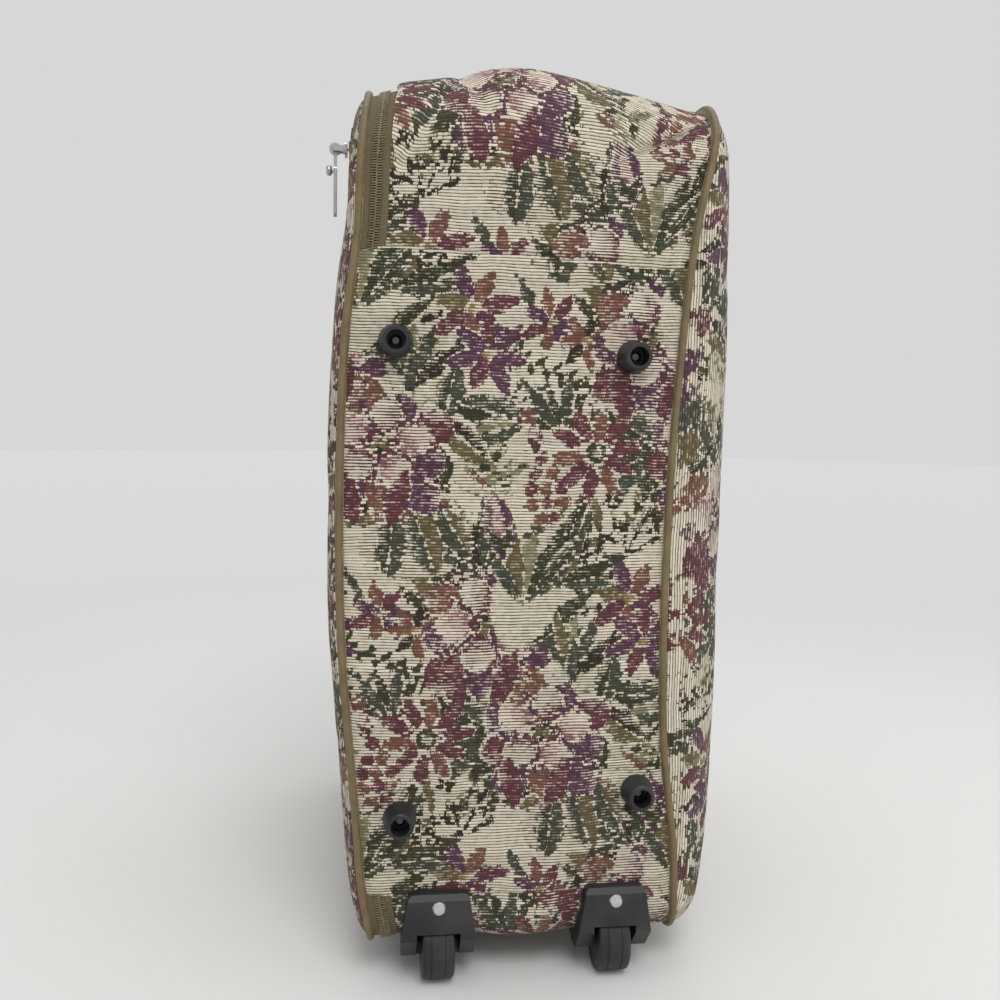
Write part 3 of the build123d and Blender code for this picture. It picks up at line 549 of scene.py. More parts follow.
# One repeat of the woven pattern: kind, place across and up, size (mm), turn (degrees), threads.
MOTIFS = (
    ("tint", -70, -4, 34, 90, "sage"),
    ("tint", 10, -166, 38, 70, "sage"),
    ("tint", 92, -30, 32, 30, "olive"),
    ("tint", -16, -84, 28, 0, "sage"),
    ("tint", 62, 34, 30, 70, "sage"),
    ("tint", -66, -134, 38, 10, "olive"),
    ("tint", 88, -104, 26, 60, "sage"),
    ("tint", 30, -128, 24, 80, "olive"),
    ("spray", 64, 8, 52, 95, "moss", "bark", "moss", "olive"),
    ("spray", -114, -8, 62, 58, "slate", "moss", "slate"),
    ("spray", 4, -178, 62, 82, "slate", "moss", "sage", "olive"),
    ("spray", 24, -164, 56, 42, "slate", "moss", "olive"),
    ("spray", -76, -26, 42, 85, "olive", "slate", "sage"),
    ("spray", 104, -62, 58, -112, "moss", "slate", "moss"),
    ("spray", 30, -62, 42, 105, "moss", "slate"),
    ("spray", -24, -158, 48, 112, "moss", "slate", "bark"),
    ("spray", -46, -92, 40, 200, "moss", "bark"),
    ("spray", 112, 26, 46, 75, "moss", "olive", "slate"),
    ("slip", -56, -12, 50, 38, "bark"),
    ("slip", -75, -19, 36, 85, "slate"),
    ("slip", 40, -120, 46, 72, "moss", "bark"),
    ("slip", 18, -120, 32, 35, "slate", "sage"),
    ("slip", -34, -134, 34, 65, "bark"),
    ("slip", 29, -148, 46, 52, "moss", "slate"),
    ("slip", 56, -112, 30, 100, "olive"),
    ("slip", -20, -78, 30, 45, "moss"),
    ("slip", -7, -84, 26, 15, "sage", "slate"),
    ("slip", -26, -91, 24, -40, "rust", "olive"),
    ("slip", -84, -44, 32, 60, "bark", "olive"),
    ("slip", 4, 36, 30, 120, "slate"),
    ("slip", -56, 40, 34, 25, "moss"),
    ("slip", -2, 0, 26, 70, "moss", "sage"),
    ("twig", 44, -148, 32, 40, "bark", "moss"),
    ("twig", 78, -144, 30, 62, "bark"),
    ("twig", -8, -40, 24, 28, "moss", "slate"),
    ("twig", 44, -22, 22, -72, "moss"),
    ("twig", -8, -98, 18, 120, "moss", "sage"),
    ("twig", 96, -128, 24, 110, "bark", "olive"),
    ("fern", 25, -16, 56, -20, "moss"),
    ("fern", 60, -134, 34, 38, "bark"),
    ("fern", -46, 12, 30, 150, "bark"),
    ("leaf", -100, -36, 36, 115, "rust", "wine"),
    ("leaf", -48, -31, 38, 78, "slate", "moss"),
    ("leaf", -20, -44, 46, -12, "moss", "slate"),
    ("leaf", -18, -57, 36, 12, "slate", "sage"),
    ("leaf", -38, -64, 42, -38, "olive", "bark"),
    ("leaf", -52, -82, 24, 100, "moss"),
    ("leaf", -104, -114, 36, 20, "olive", "bark"),
    ("leaf", -84, -120, 28, 170, "rust", "rose"),
    ("leaf", -62, -108, 52, -25, "olive", "rust"),
    ("leaf", -88, -136, 42, 85, "slate", "moss"),
    ("leaf", -65, -132, 46, 110, "olive", "slate"),
    ("leaf", -44, -126, 40, -60, "slate", "olive"),
    ("leaf", 90, -60, 58, -32, "moss", "slate"),
    ("leaf", 108, 44, 40, 70, "slate", "olive"),
    ("bud", 11, -62, 20, 100, "wine", "rust"),
    ("star", -33, 27, 27, 10, "wine", "rust", "plum", "olive"),
    ("star", -22, -4, 26, 40, "plum", "wine", "plum"),
    ("star", 21, 18, 20, 0, "plum", "wine", "rust"),
    ("star", 45, 6, 18, 25, "rust", "bark", "rust"),
    ("grape", 19, -97, 46, 96, "wine", "rust"),
    ("berries", 68, -104, 6, 0, "bark"),
    ("berries", 6, -46, 6, 20, "rust"),
    ("bud", -13, -123, 42, 100, "plum", "rose"),
    ("bud", 72, 56, 34, 70, "wine", "rose"),
    ("daisy", 54, -71, 30, 10, "wine", "rust", "moss"),
    ("rose", 98, 2, 45, 20, "plum", "wine", "rose"),
    ("rose", -93, -74, 42, -10, "plum", "wine", "rose"),
)


# ---------------------------------------------------------------- meshes
def new_piece(name, points, faces):
    """A new object from a list of points and the faces between them."""
    mesh = bpy.data.meshes.new(name)
    mesh.from_pydata(points, [], faces)
    piece = bpy.data.objects.new(name, mesh)
    bpy.context.scene.collection.objects.link(piece)
    return piece


def sheet_mesh(name, points, close_rows=False, close_columns=False, flip=False):
    """A grid of points as a new object with quad faces."""
    rows, columns = points.shape[:2]
    index = np.arange(rows * columns).reshape(rows, columns)
    if close_rows:
        index = np.vstack([index, index[:1]])
    if close_columns:
        index = np.hstack([index, index[:, :1]])
    quads = np.stack([index[:-1, :-1], index[:-1, 1:], index[1:, 1:], index[1:, :-1]], axis=-1).reshape(-1, 4)
    if flip:
        quads = quads[:, ::-1]
    return new_piece(name, points.reshape(-1, 3).tolist(), quads.tolist())


def bar_faces(sides):
    """Faces of a bar between two rings of points."""
    around = [(k, (k + 1) % sides) for k in range(sides)]
    walls = [(k, n, sides + n, sides + k) for k, n in around]
    return [*walls, tuple(range(sides))[::-1], tuple(range(sides, 2 * sides))]


def cloth_map(piece, across, along):
    """A UV map in metres: across a rib's threads, and from rib to rib."""
    mesh = piece.data
    across, along = np.broadcast_arrays(across, along)
    corner = np.empty(len(mesh.loops), dtype=np.int32)
    mesh.loops.foreach_get("vertex_index", corner)
    pairs = np.stack([across.ravel()[corner], along.ravel()[corner]], axis=-1)
    layer = mesh.uv_layers.new(name="weave")
    layer.data.foreach_set("uv", pairs.astype(np.float32).ravel())


def woven(piece, fields):
    for thread, values in zip((*THREADS, "pale"), fields):
        attribute = piece.data.attributes.new(f"thread_{thread}", "FLOAT", "POINT")
        attribute.data.foreach_set("value", values.astype(np.float32))


def choose(piece):
    """Makes the piece the only selected and the active object."""
    bpy.ops.object.select_all(action="DESELECT")
    piece.select_set(True)
    bpy.context.view_layer.objects.active = piece


def smooth(piece, degrees=60):
    choose(piece)
    bpy.ops.object.shade_smooth_by_angle(angle=math.radians(degrees))


def edit_all(piece, operator, **settings):
    """Runs one edit-mode operator on the whole of a piece."""
    choose(piece)
    bpy.ops.object.mode_set(mode="EDIT")
    bpy.ops.mesh.select_all(action="SELECT")
    operator(**settings)
    bpy.ops.object.mode_set(mode="OBJECT")


def refine(values, rows, columns, shape, closed):
    """Spreads values known at some rows and columns of a grid over all of it, smoothly."""
    every_row, every_column = np.arange(shape[0]), np.arange(shape[1])
    period = shape[0] if closed else None
    tall = np.stack([np.interp(every_row, rows, values[:, k], period=period) for k in range(len(columns))], axis=1)
    full = np.stack([np.interp(every_column, columns, line) for line in tall])
    for _ in range(10):
        high, low = np.roll(full, -1, axis=0), np.roll(full, 1, axis=0)
        if not closed:
            high[-1], low[0] = full[-1], full[0]
        full = (high + 2 * full + low) / 4
        full[:, 1:-1] = (full[:, 2:] + 2 * full[:, 1:-1] + full[:, :-2]) / 4
    return full


SETTLE_FRAMES = 20


def settle(points, hold, step, cap, seed, closed=False, flip=False):
    """How far a short cloth simulation of slack cloth lifts each point of a grid along its normal, up to the cap."""
    shape = points.shape[:2]
    rows = np.arange(0, shape[0], step[0])
    columns = np.unique(np.append(np.arange(0, shape[1], step[1]), shape[1] - 1))
    rows = rows if closed else np.unique(np.append(rows, shape[0] - 1))
    grid = points[np.ix_(rows, columns)]
    draw = np.random.default_rng(seed)
    piece = sheet_mesh("cloth_trial", grid + draw.normal(0, 0.12 * MM, grid.shape), close_rows=closed, flip=flip)
    held = piece.vertex_groups.new(name="held")
    for index, weight in enumerate(hold[np.ix_(rows, columns)].ravel()):
        held.add([index], float(weight), "REPLACE")
    cloth = piece.modifiers.new("cloth", "CLOTH")
    settings = cloth.settings
    settings.quality, settings.mass = 6, 0.2
    settings.tension_stiffness = settings.compression_stiffness = 18.0
    settings.shear_stiffness, settings.bending_stiffness = 6.0, 0.6
    settings.use_pressure, settings.uniform_pressure_force = True, 0.05
    settings.vertex_group_mass = "held"
    settings.shrink_min = -0.006
    settings.effector_weights.gravity = 0.0
    cloth.point_cache.frame_start, cloth.point_cache.frame_end = 1, SETTLE_FRAMES
    scene = bpy.context.scene
    for frame_number in range(1, SETTLE_FRAMES + 1):
        scene.frame_set(frame_number)
    trial = piece.evaluated_get(bpy.context.evaluated_depsgraph_get()).to_mesh()
    after, normals = np.empty(len(trial.vertices) * 3), np.empty(len(trial.vertices) * 3)
    trial.vertices.foreach_get("co", after)
    piece.data.vertices.foreach_get("normal", normals)
    lift = ((after.reshape(grid.shape) - grid) * normals.reshape(grid.shape)).sum(axis=-1)
    scene.frame_set(1)
    bpy.data.objects.remove(piece)
    return refine(lift * min(1.0, cap / np.abs(lift).max()), rows, columns, shape, closed)


def dress(piece, material, slot, body=None, *nodes):
    """Gives a finished piece its material where it has none, its body and the solids it stands for."""
    if not len(piece.data.materials):
        piece.data.materials.append(material)
    if nodes:
        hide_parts(*nodes)
    if body:
        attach(piece, body)
    return piece


def finish_nodes(material, *names):
    for name in names:
        for material_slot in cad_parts[name].material_slots:
            material_slot.material = material


# ---------------------------------------------------------------- node helpers
def place(tree, kind, settings=None, inputs=None):
    """Adds a node, sets its settings and fills or links its inputs."""
    node = tree.nodes.new(kind)
    node.location = (180 * (len(tree.nodes) % 12), -200 * (len(tree.nodes) // 12))
    for key, value in (settings or {}).items():
        setattr(node, key, value)
    for key, value in (inputs or {}).items():
        if isinstance(value, bpy.types.NodeSocket):
            tree.links.new(value, node.inputs[key])
        else:
            node.inputs[key].default_value = value
    return node


def calc(tree, operation, a, b=0.0, clamp=False):
    return place(tree, "ShaderNodeMath", {"operation": operation, "use_clamp": clamp}, {0: a, 1: b}).outputs[0]


def blend_colour(tree, factor, a, b, mode="MIX"):
    a = (*a, 1) if isinstance(a, tuple) else a
    b = (*b, 1) if isinstance(b, tuple) else b
    node = place(tree, "ShaderNodeMix", {"data_type": "RGBA", "blend_type": mode}, {0: factor, 6: a, 7: b})
    return node.outputs[2]


def toned(tint, share):
    """A colour made darker or lighter."""
    return tuple(min(1.0, share * level) for level in tint)


def grey(tree, value):
    """A value as a grey colour."""
    return place(tree, "ShaderNodeCombineColor", None, {0: value, 1: value, 2: value}).outputs[0]


def object_place(tree):
    return place(tree, "ShaderNodeTexCoord").outputs["Object"]


def grain(tree, scale, detail=4.0, vector=None, rough=0.55):
    """Noise, on Object coordinates where no others are given."""
    inputs = {"Vector": vector or object_place(tree), "Scale": scale, "Detail": detail, "Roughness": rough}
    return place(tree, "ShaderNodeTexNoise", None, inputs).outputs["Fac"]


def remap(tree, value, low, high, to_low=0.0, to_high=1.0):
    node = place(tree, "ShaderNodeMapRange", {"clamp": True}, {0: value, 1: low, 2: high, 3: to_low, 4: to_high})
    return node.outputs[0]


def new_finish(name, **plain):
    """A material with its Principled shader; plain values go on the shader's own sockets."""
    material = bpy.data.materials.new(name)
    material.use_nodes = True
    tree = material.node_tree
    shader = tree.nodes["Principled BSDF"]
    for key, value in plain.items():
        shader.inputs[key.replace("_", " ")].default_value = value
    return material, tree, shader


def paint(tree, shader, face, roughness):
    """Links a finish's colour and roughness to its shader."""
    tree.links.new(face, shader.inputs["Base Color"])
    tree.links.new(roughness, shader.inputs["Roughness"])


def raise_bump(tree, shader, height, distance, strength):
    node = place(tree, "ShaderNodeBump", None, {"Height": height, "Distance": distance, "Strength": strength})
    tree.links.new(node.outputs["Normal"], shader.inputs["Normal"])


def new_group(name, inputs, outputs):
    group = bpy.data.node_groups.new(name, "ShaderNodeTree")
    for label, kind in inputs:
        group.interface.new_socket(label, in_out="INPUT", socket_type=kind)
    for label, kind in outputs:
        group.interface.new_socket(label, in_out="OUTPUT", socket_type=kind)
    return group, group.nodes.new("NodeGroupInput"), group.nodes.new("NodeGroupOutput")


def ribs_group():
    """Ribs, runs and threads of a ribbed cloth, from a UV map in metres."""
    if "Cloth ribs" in bpy.data.node_groups:
        return bpy.data.node_groups["Cloth ribs"]
    floats = "NodeSocketFloat"
    inputs = [("Map", "NodeSocketVector"), ("Rib pitch", floats), ("Warp pitch", floats)]
    labels = ("Round", "Rib tone", "Run tone", "Thread tone", "Beat", "Height")
    group, start, end = new_group("Cloth ribs", inputs, [(label, floats) for label in labels])
    split = place(group, "ShaderNodeSeparateXYZ", None, {0: start.outputs["Map"]})
    warp = calc(group, "DIVIDE", split.outputs[0], start.outputs["Warp pitch"])
    sway = calc(group, "MULTIPLY", grain(group, 26.0, 2.0, start.outputs["Map"], 0.5), 1.6)
    rib = calc(group, "ADD", calc(group, "DIVIDE", split.outputs[1], start.outputs["Rib pitch"]), sway)
    rib_number = calc(group, "FLOOR", rib)
    rib_tone = place(group, "ShaderNodeTexWhiteNoise", {"noise_dimensions": "1D"}, {"W": rib_number}).outputs["Value"]
    stagger = calc(group, "ADD", warp, calc(group, "MULTIPLY", rib_tone, 7.0))

    def tone(length):
        cell = calc(group, "FLOOR", calc(group, "DIVIDE", stagger, length))
        spot = place(group, "ShaderNodeCombineXYZ", None, {0: cell, 1: rib_number, 2: length}).outputs[0]
        draw = place(group, "ShaderNodeTexWhiteNoise", {"noise_dimensions": "3D"}, {"Vector": spot})
        return draw.outputs["Value"]

    centred = calc(group, "SUBTRACT", calc(group, "MULTIPLY", calc(group, "FRACT", rib), 2.0), 1.0)
    arch = calc(group, "SUBTRACT", 1.0, calc(group, "POWER", calc(group, "ABSOLUTE", centred), 2.2))
    beat = calc(group, "ABSOLUTE", calc(group, "SINE", calc(group, "MULTIPLY", stagger, math.pi)))
    height = calc(group, "MULTIPLY", arch, calc(group, "ADD", 0.7, calc(group, "MULTIPLY", beat, 0.3)))
    for label, value in zip(labels, (arch, rib_tone, tone(3.7), tone(1.0), beat, height)):
        group.links.new(value, end.inputs[label])
    return group


def scuff_group():
    """Handling marks: a mask of scuffs and a soft cloud of dust."""
    if "Scuffs" in bpy.data.node_groups:
        return bpy.data.node_groups["Scuffs"]
    floats = "NodeSocketFloat"
    outputs = [("Scuff", floats), ("Dust", floats)]
    group, start, end = new_group("Scuffs", [("Scale", floats), ("Amount", floats)], outputs)
    coords = object_place(group)
    stretched = place(group, "ShaderNodeMapping", None, {"Vector": coords, "Scale": (1.0, 0.6, 2.2)}).outputs[0]
    fine = grain(group, start.outputs["Scale"], 8.0, stretched, 0.72)
    broad = grain(group, 22.0, 3.0, coords, 0.5)
    edge = calc(group, "SUBTRACT", 0.74, calc(group, "MULTIPLY", start.outputs["Amount"], 0.12))
    scuff = calc(group, "MULTIPLY", calc(group, "SUBTRACT", fine, edge), 9.0, clamp=True)
    group.links.new(scuff, end.inputs["Scuff"])
    group.links.new(remap(group, broad, 0.42, 0.72), end.inputs["Dust"])
    return group


def use_group(tree, group, inputs):
    return place(tree, "ShaderNodeGroup", {"node_tree": group}, inputs).outputs


def once(make):
    """Keeps one material for each finish."""
    made = {}

    def get():
        if "it" not in made:
            made["it"] = make()
        return made["it"]

    return get


# ---------------------------------------------------------------- finishes
@once
def tapestry():
    """Ribbed tapestry: cream ground with flowers and leaves woven in coloured threads, half-toned rib by rib, with
    painted shade in the rib grooves and between the warp crossings.
    """
    tint = colours()
    material, tree, shader = new_finish(
        "tapestry", Roughness=0.88, Sheen_Weight=0.1, Sheen_Roughness=0.5, Specular_IOR_Level=0.2
    )
    where = place(tree, "ShaderNodeUVMap", {"uv_map": "weave"}).outputs[0]
    weave = use_group(tree, ribs_group(), {"Map": where, "Rib pitch": sizes().rib, "Warp pitch": sizes().warp})
    run = calc(tree, "SUBTRACT", weave["Run tone"], 0.5)
    thread_tone = calc(tree, "SUBTRACT", weave["Thread tone"], 0.5)
    wander = calc(tree, "ADD", calc(tree, "MULTIPLY", run, 2.2 * MM), calc(tree, "MULTIPLY", thread_tone, 1.0 * MM))
    face, inside = None, None
    for thread in THREADS:
        field = place(tree, "ShaderNodeAttribute", {"attribute_name": f"thread_{thread}"}).outputs["Fac"]
        mask = remap(tree, calc(tree, "ADD", field, wander), 0.3 * MM, -0.3 * MM)
        woven_in = tuple(getattr(tint, thread))
        face = blend_colour(tree, mask, face if face else woven_in, woven_in)
        inside = mask if inside is None else calc(tree, "MAXIMUM", inside, mask)
    level = place(tree, "ShaderNodeAttribute", {"attribute_name": "thread_pale"}).outputs["Fac"]
    level = calc(tree, "MAXIMUM", level, calc(tree, "SUBTRACT", 1.0, inside))
    uneven = calc(tree, "ADD", calc(tree, "MULTIPLY", run, 0.34), calc(tree, "MULTIPLY", thread_tone, 0.2))
    crest = calc(tree, "ADD", weave["Round"], uneven)
    crest = calc(tree, "SUBTRACT", crest, remap(tree, level, 0.2, 1.0, 1.14, 0.46))
    mottle = calc(tree, "MULTIPLY", weave["Thread tone"], 0.5)
    cream = blend_colour(tree, mottle, tuple(tint.cream), toned(tint.cream, 0.7))
    # Painted shade: the coloured threads darken towards the rib edges, where the ribs dip into their grooves; the run
    # tone adds random variation on top.
    deep = remap(tree, weave["Round"], 0.1, 0.7, 0.5, 1.0)
    varied_and_groove_shade = grey(tree, calc(tree, "MULTIPLY", deep, remap(tree, weave["Run tone"], 0.0, 1.0, 0.78, 1.22)))
    # Painted shade and highlight on the dark warp between the ribs: darker in the dips between warp crossings,
    # lighter on the crossings.
    warp_dip_shade_and_highlight = grey(tree, remap(tree, weave["Beat"], 0.15, 0.8, 0.55, 1.3))
    gap = blend_colour(tree, 1.0, tuple(tint.gap), warp_dip_shade_and_highlight, "MULTIPLY")
    below = blend_colour(tree, inside, gap, blend_colour(tree, 1.0, face, varied_and_groove_shade, "MULTIPLY"))
    cloth = blend_colour(tree, remap(tree, crest, -0.12, 0.12), below, cream)
    # Random tone rib by rib, then painted shade in the dips between the warp crossings.
    shade = remap(tree, weave["Rib tone"], 0.0, 1.0, 0.84, 1.06)
    shade = grey(tree, calc(tree, "MULTIPLY", shade, remap(tree, weave["Beat"], 0.0, 0.7, 0.74, 1.0)))
    cloth = blend_colour(tree, 1.0, cloth, shade, "MULTIPLY")
    tree.links.new(cloth, shader.inputs["Base Color"])
    raise_bump(tree, shader, weave["Height"], 0.7 * MM, 0.8)
    return material


def vinyl(name, tint, rough):
    """Grained vinyl with handling marks."""
    material, tree, shader = new_finish(name, Specular_IOR_Level=0.4)
    marks = use_group(tree, scuff_group(), {"Scale": 160.0, "Amount": 0.6})
    spots = {"Vector": object_place(tree), "Scale": 900.0}
    cells = place(tree, "ShaderNodeTexVoronoi", {"feature": "DISTANCE_TO_EDGE"}, spots).outputs["Distance"]
    cloud = grain(tree, 60.0, 5.0)
    face = blend_colour(tree, remap(tree, cloud, 0.3, 0.7), toned(tint, 0.72), toned(tint, 1.12))
    face = blend_colour(tree, calc(tree, "MULTIPLY", marks["Scuff"], 0.5), face, toned(tint, 1.7))
    paint(tree, shader, face, remap(tree, cloud, 0.3, 0.7, rough - 0.06, rough + 0.12))
    raise_bump(tree, shader, calc(tree, "ADD", remap(tree, cells, 0.0, 0.12), cloud), 0.12 * MM, 0.6)
    return material


def woven_tape(name, tint, pitch):
    """Fine woven tape or lining with crossing threads, with painted shade in the grooves between them."""
    material, tree, shader = new_finish(name, Sheen_Weight=0.08, Specular_IOR_Level=0.3)
    where = place(tree, "ShaderNodeUVMap", {"uv_map": "weave"}).outputs[0]
    weave = use_group(tree, ribs_group(), {"Map": where, "Rib pitch": pitch, "Warp pitch": pitch})
    face = blend_colour(tree, weave["Thread tone"], toned(tint, 0.75), toned(tint, 1.1))
    # Painted shade: the threads darken where the weave is low, in the grooves between them.
    face = blend_colour(tree, remap(tree, weave["Height"], 0.1, 0.7), toned(tint, 0.45), face)
    paint(tree, shader, face, remap(tree, weave["Rib tone"], 0.0, 1.0, 0.68, 0.85))
    raise_bump(tree, shader, weave["Height"], 0.25 * MM, 0.7)
    return material


@once
def zip_coil():
    """Nylon coil: slightly glossy, with grime between the teeth."""
    tint = tuple(colours().coil)
    material, tree, shader = new_finish("zip_coil", Specular_IOR_Level=0.45)
    tone = grain(tree, 420.0, 3.0)
    face = blend_colour(tree, remap(tree, tone, 0.3, 0.7), toned(tint, 0.6), toned(tint, 1.15))
    paint(tree, shader, face, remap(tree, tone, 0.3, 0.7, 0.34, 0.5))
    return material


def moulded(name, tint, rough):
    """Moulded plastic with a fine spark-eroded skin, scuffs and dust."""
    material, tree, shader = new_finish(name, Specular_IOR_Level=0.45)
    marks = use_group(tree, scuff_group(), {"Scale": 120.0, "Amount": 0.8})
    skin = grain(tree, 1500.0, 2.0)
    face = blend_colour(tree, remap(tree, skin, 0.3, 0.7), toned(tint, 0.85), toned(tint, 1.15))
    face = blend_colour(tree, calc(tree, "MULTIPLY", marks["Dust"], 0.1), face, screen(150, 146, 138))
    face = blend_colour(tree, calc(tree, "MULTIPLY", marks["Scuff"], 0.35), face, screen(128, 128, 130))
    paint(tree, shader, face, calc(tree, "ADD", rough, calc(tree, "MULTIPLY", marks["Dust"], 0.15)))
    raise_bump(tree, shader, skin, 0.05 * MM, 0.7)
    return material


@once
def wheel_plastic():
    """Black wheel with the fine rings that its mould leaves round the axle."""
    tint = tuple(colours().tyre)
    material, tree, shader = new_finish("wheel_plastic", Specular_IOR_Level=0.45)
    _, axle_y, axle_z = box_middle("wheel_front")
    split = place(tree, "ShaderNodeSeparateXYZ", None, {0: object_place(tree)})
    y = calc(tree, "SUBTRACT", split.outputs[1], axle_y)
    z = calc(tree, "SUBTRACT", split.outputs[2], axle_z)
    far = calc(tree, "SQRT", calc(tree, "ADD", calc(tree, "MULTIPLY", y, y), calc(tree, "MULTIPLY", z, z)))
    side = calc(tree, "SINE", calc(tree, "MULTIPLY", far, 2 * math.pi / (1.1 * MM)))
    tread = calc(tree, "SINE", calc(tree, "MULTIPLY", split.outputs[0], 2 * math.pi / (1.0 * MM)))
    marks = use_group(tree, scuff_group(), {"Scale": 200.0, "Amount": 1.0})
    face = blend_colour(tree, calc(tree, "MULTIPLY", marks["Dust"], 0.22), tint, screen(120, 114, 106))
    face = blend_colour(tree, calc(tree, "MULTIPLY", marks["Scuff"], 0.5), face, screen(110, 108, 106))
    paint(tree, shader, face, remap(tree, marks["Dust"], 0.0, 1.0, 0.45, 0.65))
    raise_bump(tree, shader, calc(tree, "ADD", side, tread), 0.08 * MM, 0.6)
    return material


def metal(name, levels, rough, brushed=0.1):
    """Plated metal with a faint brushed grain and handling haze."""
    tint = screen(*levels)
    material, tree, shader = new_finish(name, Metallic=1.0)
    long = {"Vector": object_place(tree), "Scale": (1.0, 1.0, 0.08)}
    lines = grain(tree, 2600.0, 3.0, place(tree, "ShaderNodeMapping", None, long).outputs[0])
    haze = grain(tree, 140.0, 4.0)
    face = blend_colour(tree, remap(tree, haze, 0.35, 0.75), tint, toned(tint, 0.78))
    hazy = remap(tree, haze, 0.3, 0.7, rough, rough + 0.12)
    paint(tree, shader, face, calc(tree, "ADD", hazy, calc(tree, "MULTIPLY", lines, brushed)))
    raise_bump(tree, shader, lines, 0.01 * MM, 0.4)
    return material


@once
def grey_board():
    """Pressed fibre board with speckled fibres."""
    material, tree, shader = new_finish("grey_board", Specular_IOR_Level=0.2)
    fibre = grain(tree, 700.0, 6.0)
    face = blend_colour(tree, remap(tree, fibre, 0.3, 0.7), screen(104, 92, 76), screen(150, 136, 114))
    paint(tree, shader, face, remap(tree, fibre, 0.3, 0.7, 0.78, 0.92))
    raise_bump(tree, shader, fibre, 0.15 * MM, 0.6)
    return material


piping_vinyl = once(lambda: vinyl("piping_vinyl", tuple(colours().piping), 0.42))
handle_vinyl = once(lambda: vinyl("handle_vinyl", tuple(colours().vinyl), 0.5))
zip_tape = once(lambda: woven_tape("zip_tape", tuple(colours().tape), 0.8 * MM))
lining_cloth = once(lambda: woven_tape("lining_cloth", tuple(colours().lining), 0.9 * MM))
black_plastic = once(lambda: moulded("black_plastic", tuple(colours().plastic), 0.42))
steel = once(lambda: metal("steel", (176, 176, 178), 0.28))
bright_rivet = once(lambda: metal("bright_rivet", (214, 214, 212), 0.14, 0.04))
gunmetal = once(lambda: metal("gunmetal", (112, 108, 104), 0.3))
spring_steel = once(lambda: metal("spring_steel", (118, 122, 128), 0.36, 0.2))


def lined_tapestry(piece):
    """Two material slots: tapestry outside, lining cloth inside."""
    piece.data.materials.append(tapestry())
    piece.data.materials.append(lining_cloth())


# ---------------------------------------------------------------- pieces
def clearance(points, names):
    """Distance from each point to the nearest of the named solids' boxes."""
    nearest = np.full(points.shape[:-1], 1.0)
    for name in names:
        low, high = (np.array(corner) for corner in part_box(name))
        outside = np.maximum(np.maximum(low - points, points - high), 0)
        nearest = np.minimum(nearest, np.linalg.norm(outside, axis=-1))
    return nearest


# Solids that sit on the side cloth and hold it flat.
SEATED = (
    *SIDE_FEET,
    *END_FEET,
    *HOUSINGS,
    "handle_bracket_lower",
    "handle_bracket_upper",
    "pull_tab",
    "zip_slider_upper",
    "zip_slider_lower",
)


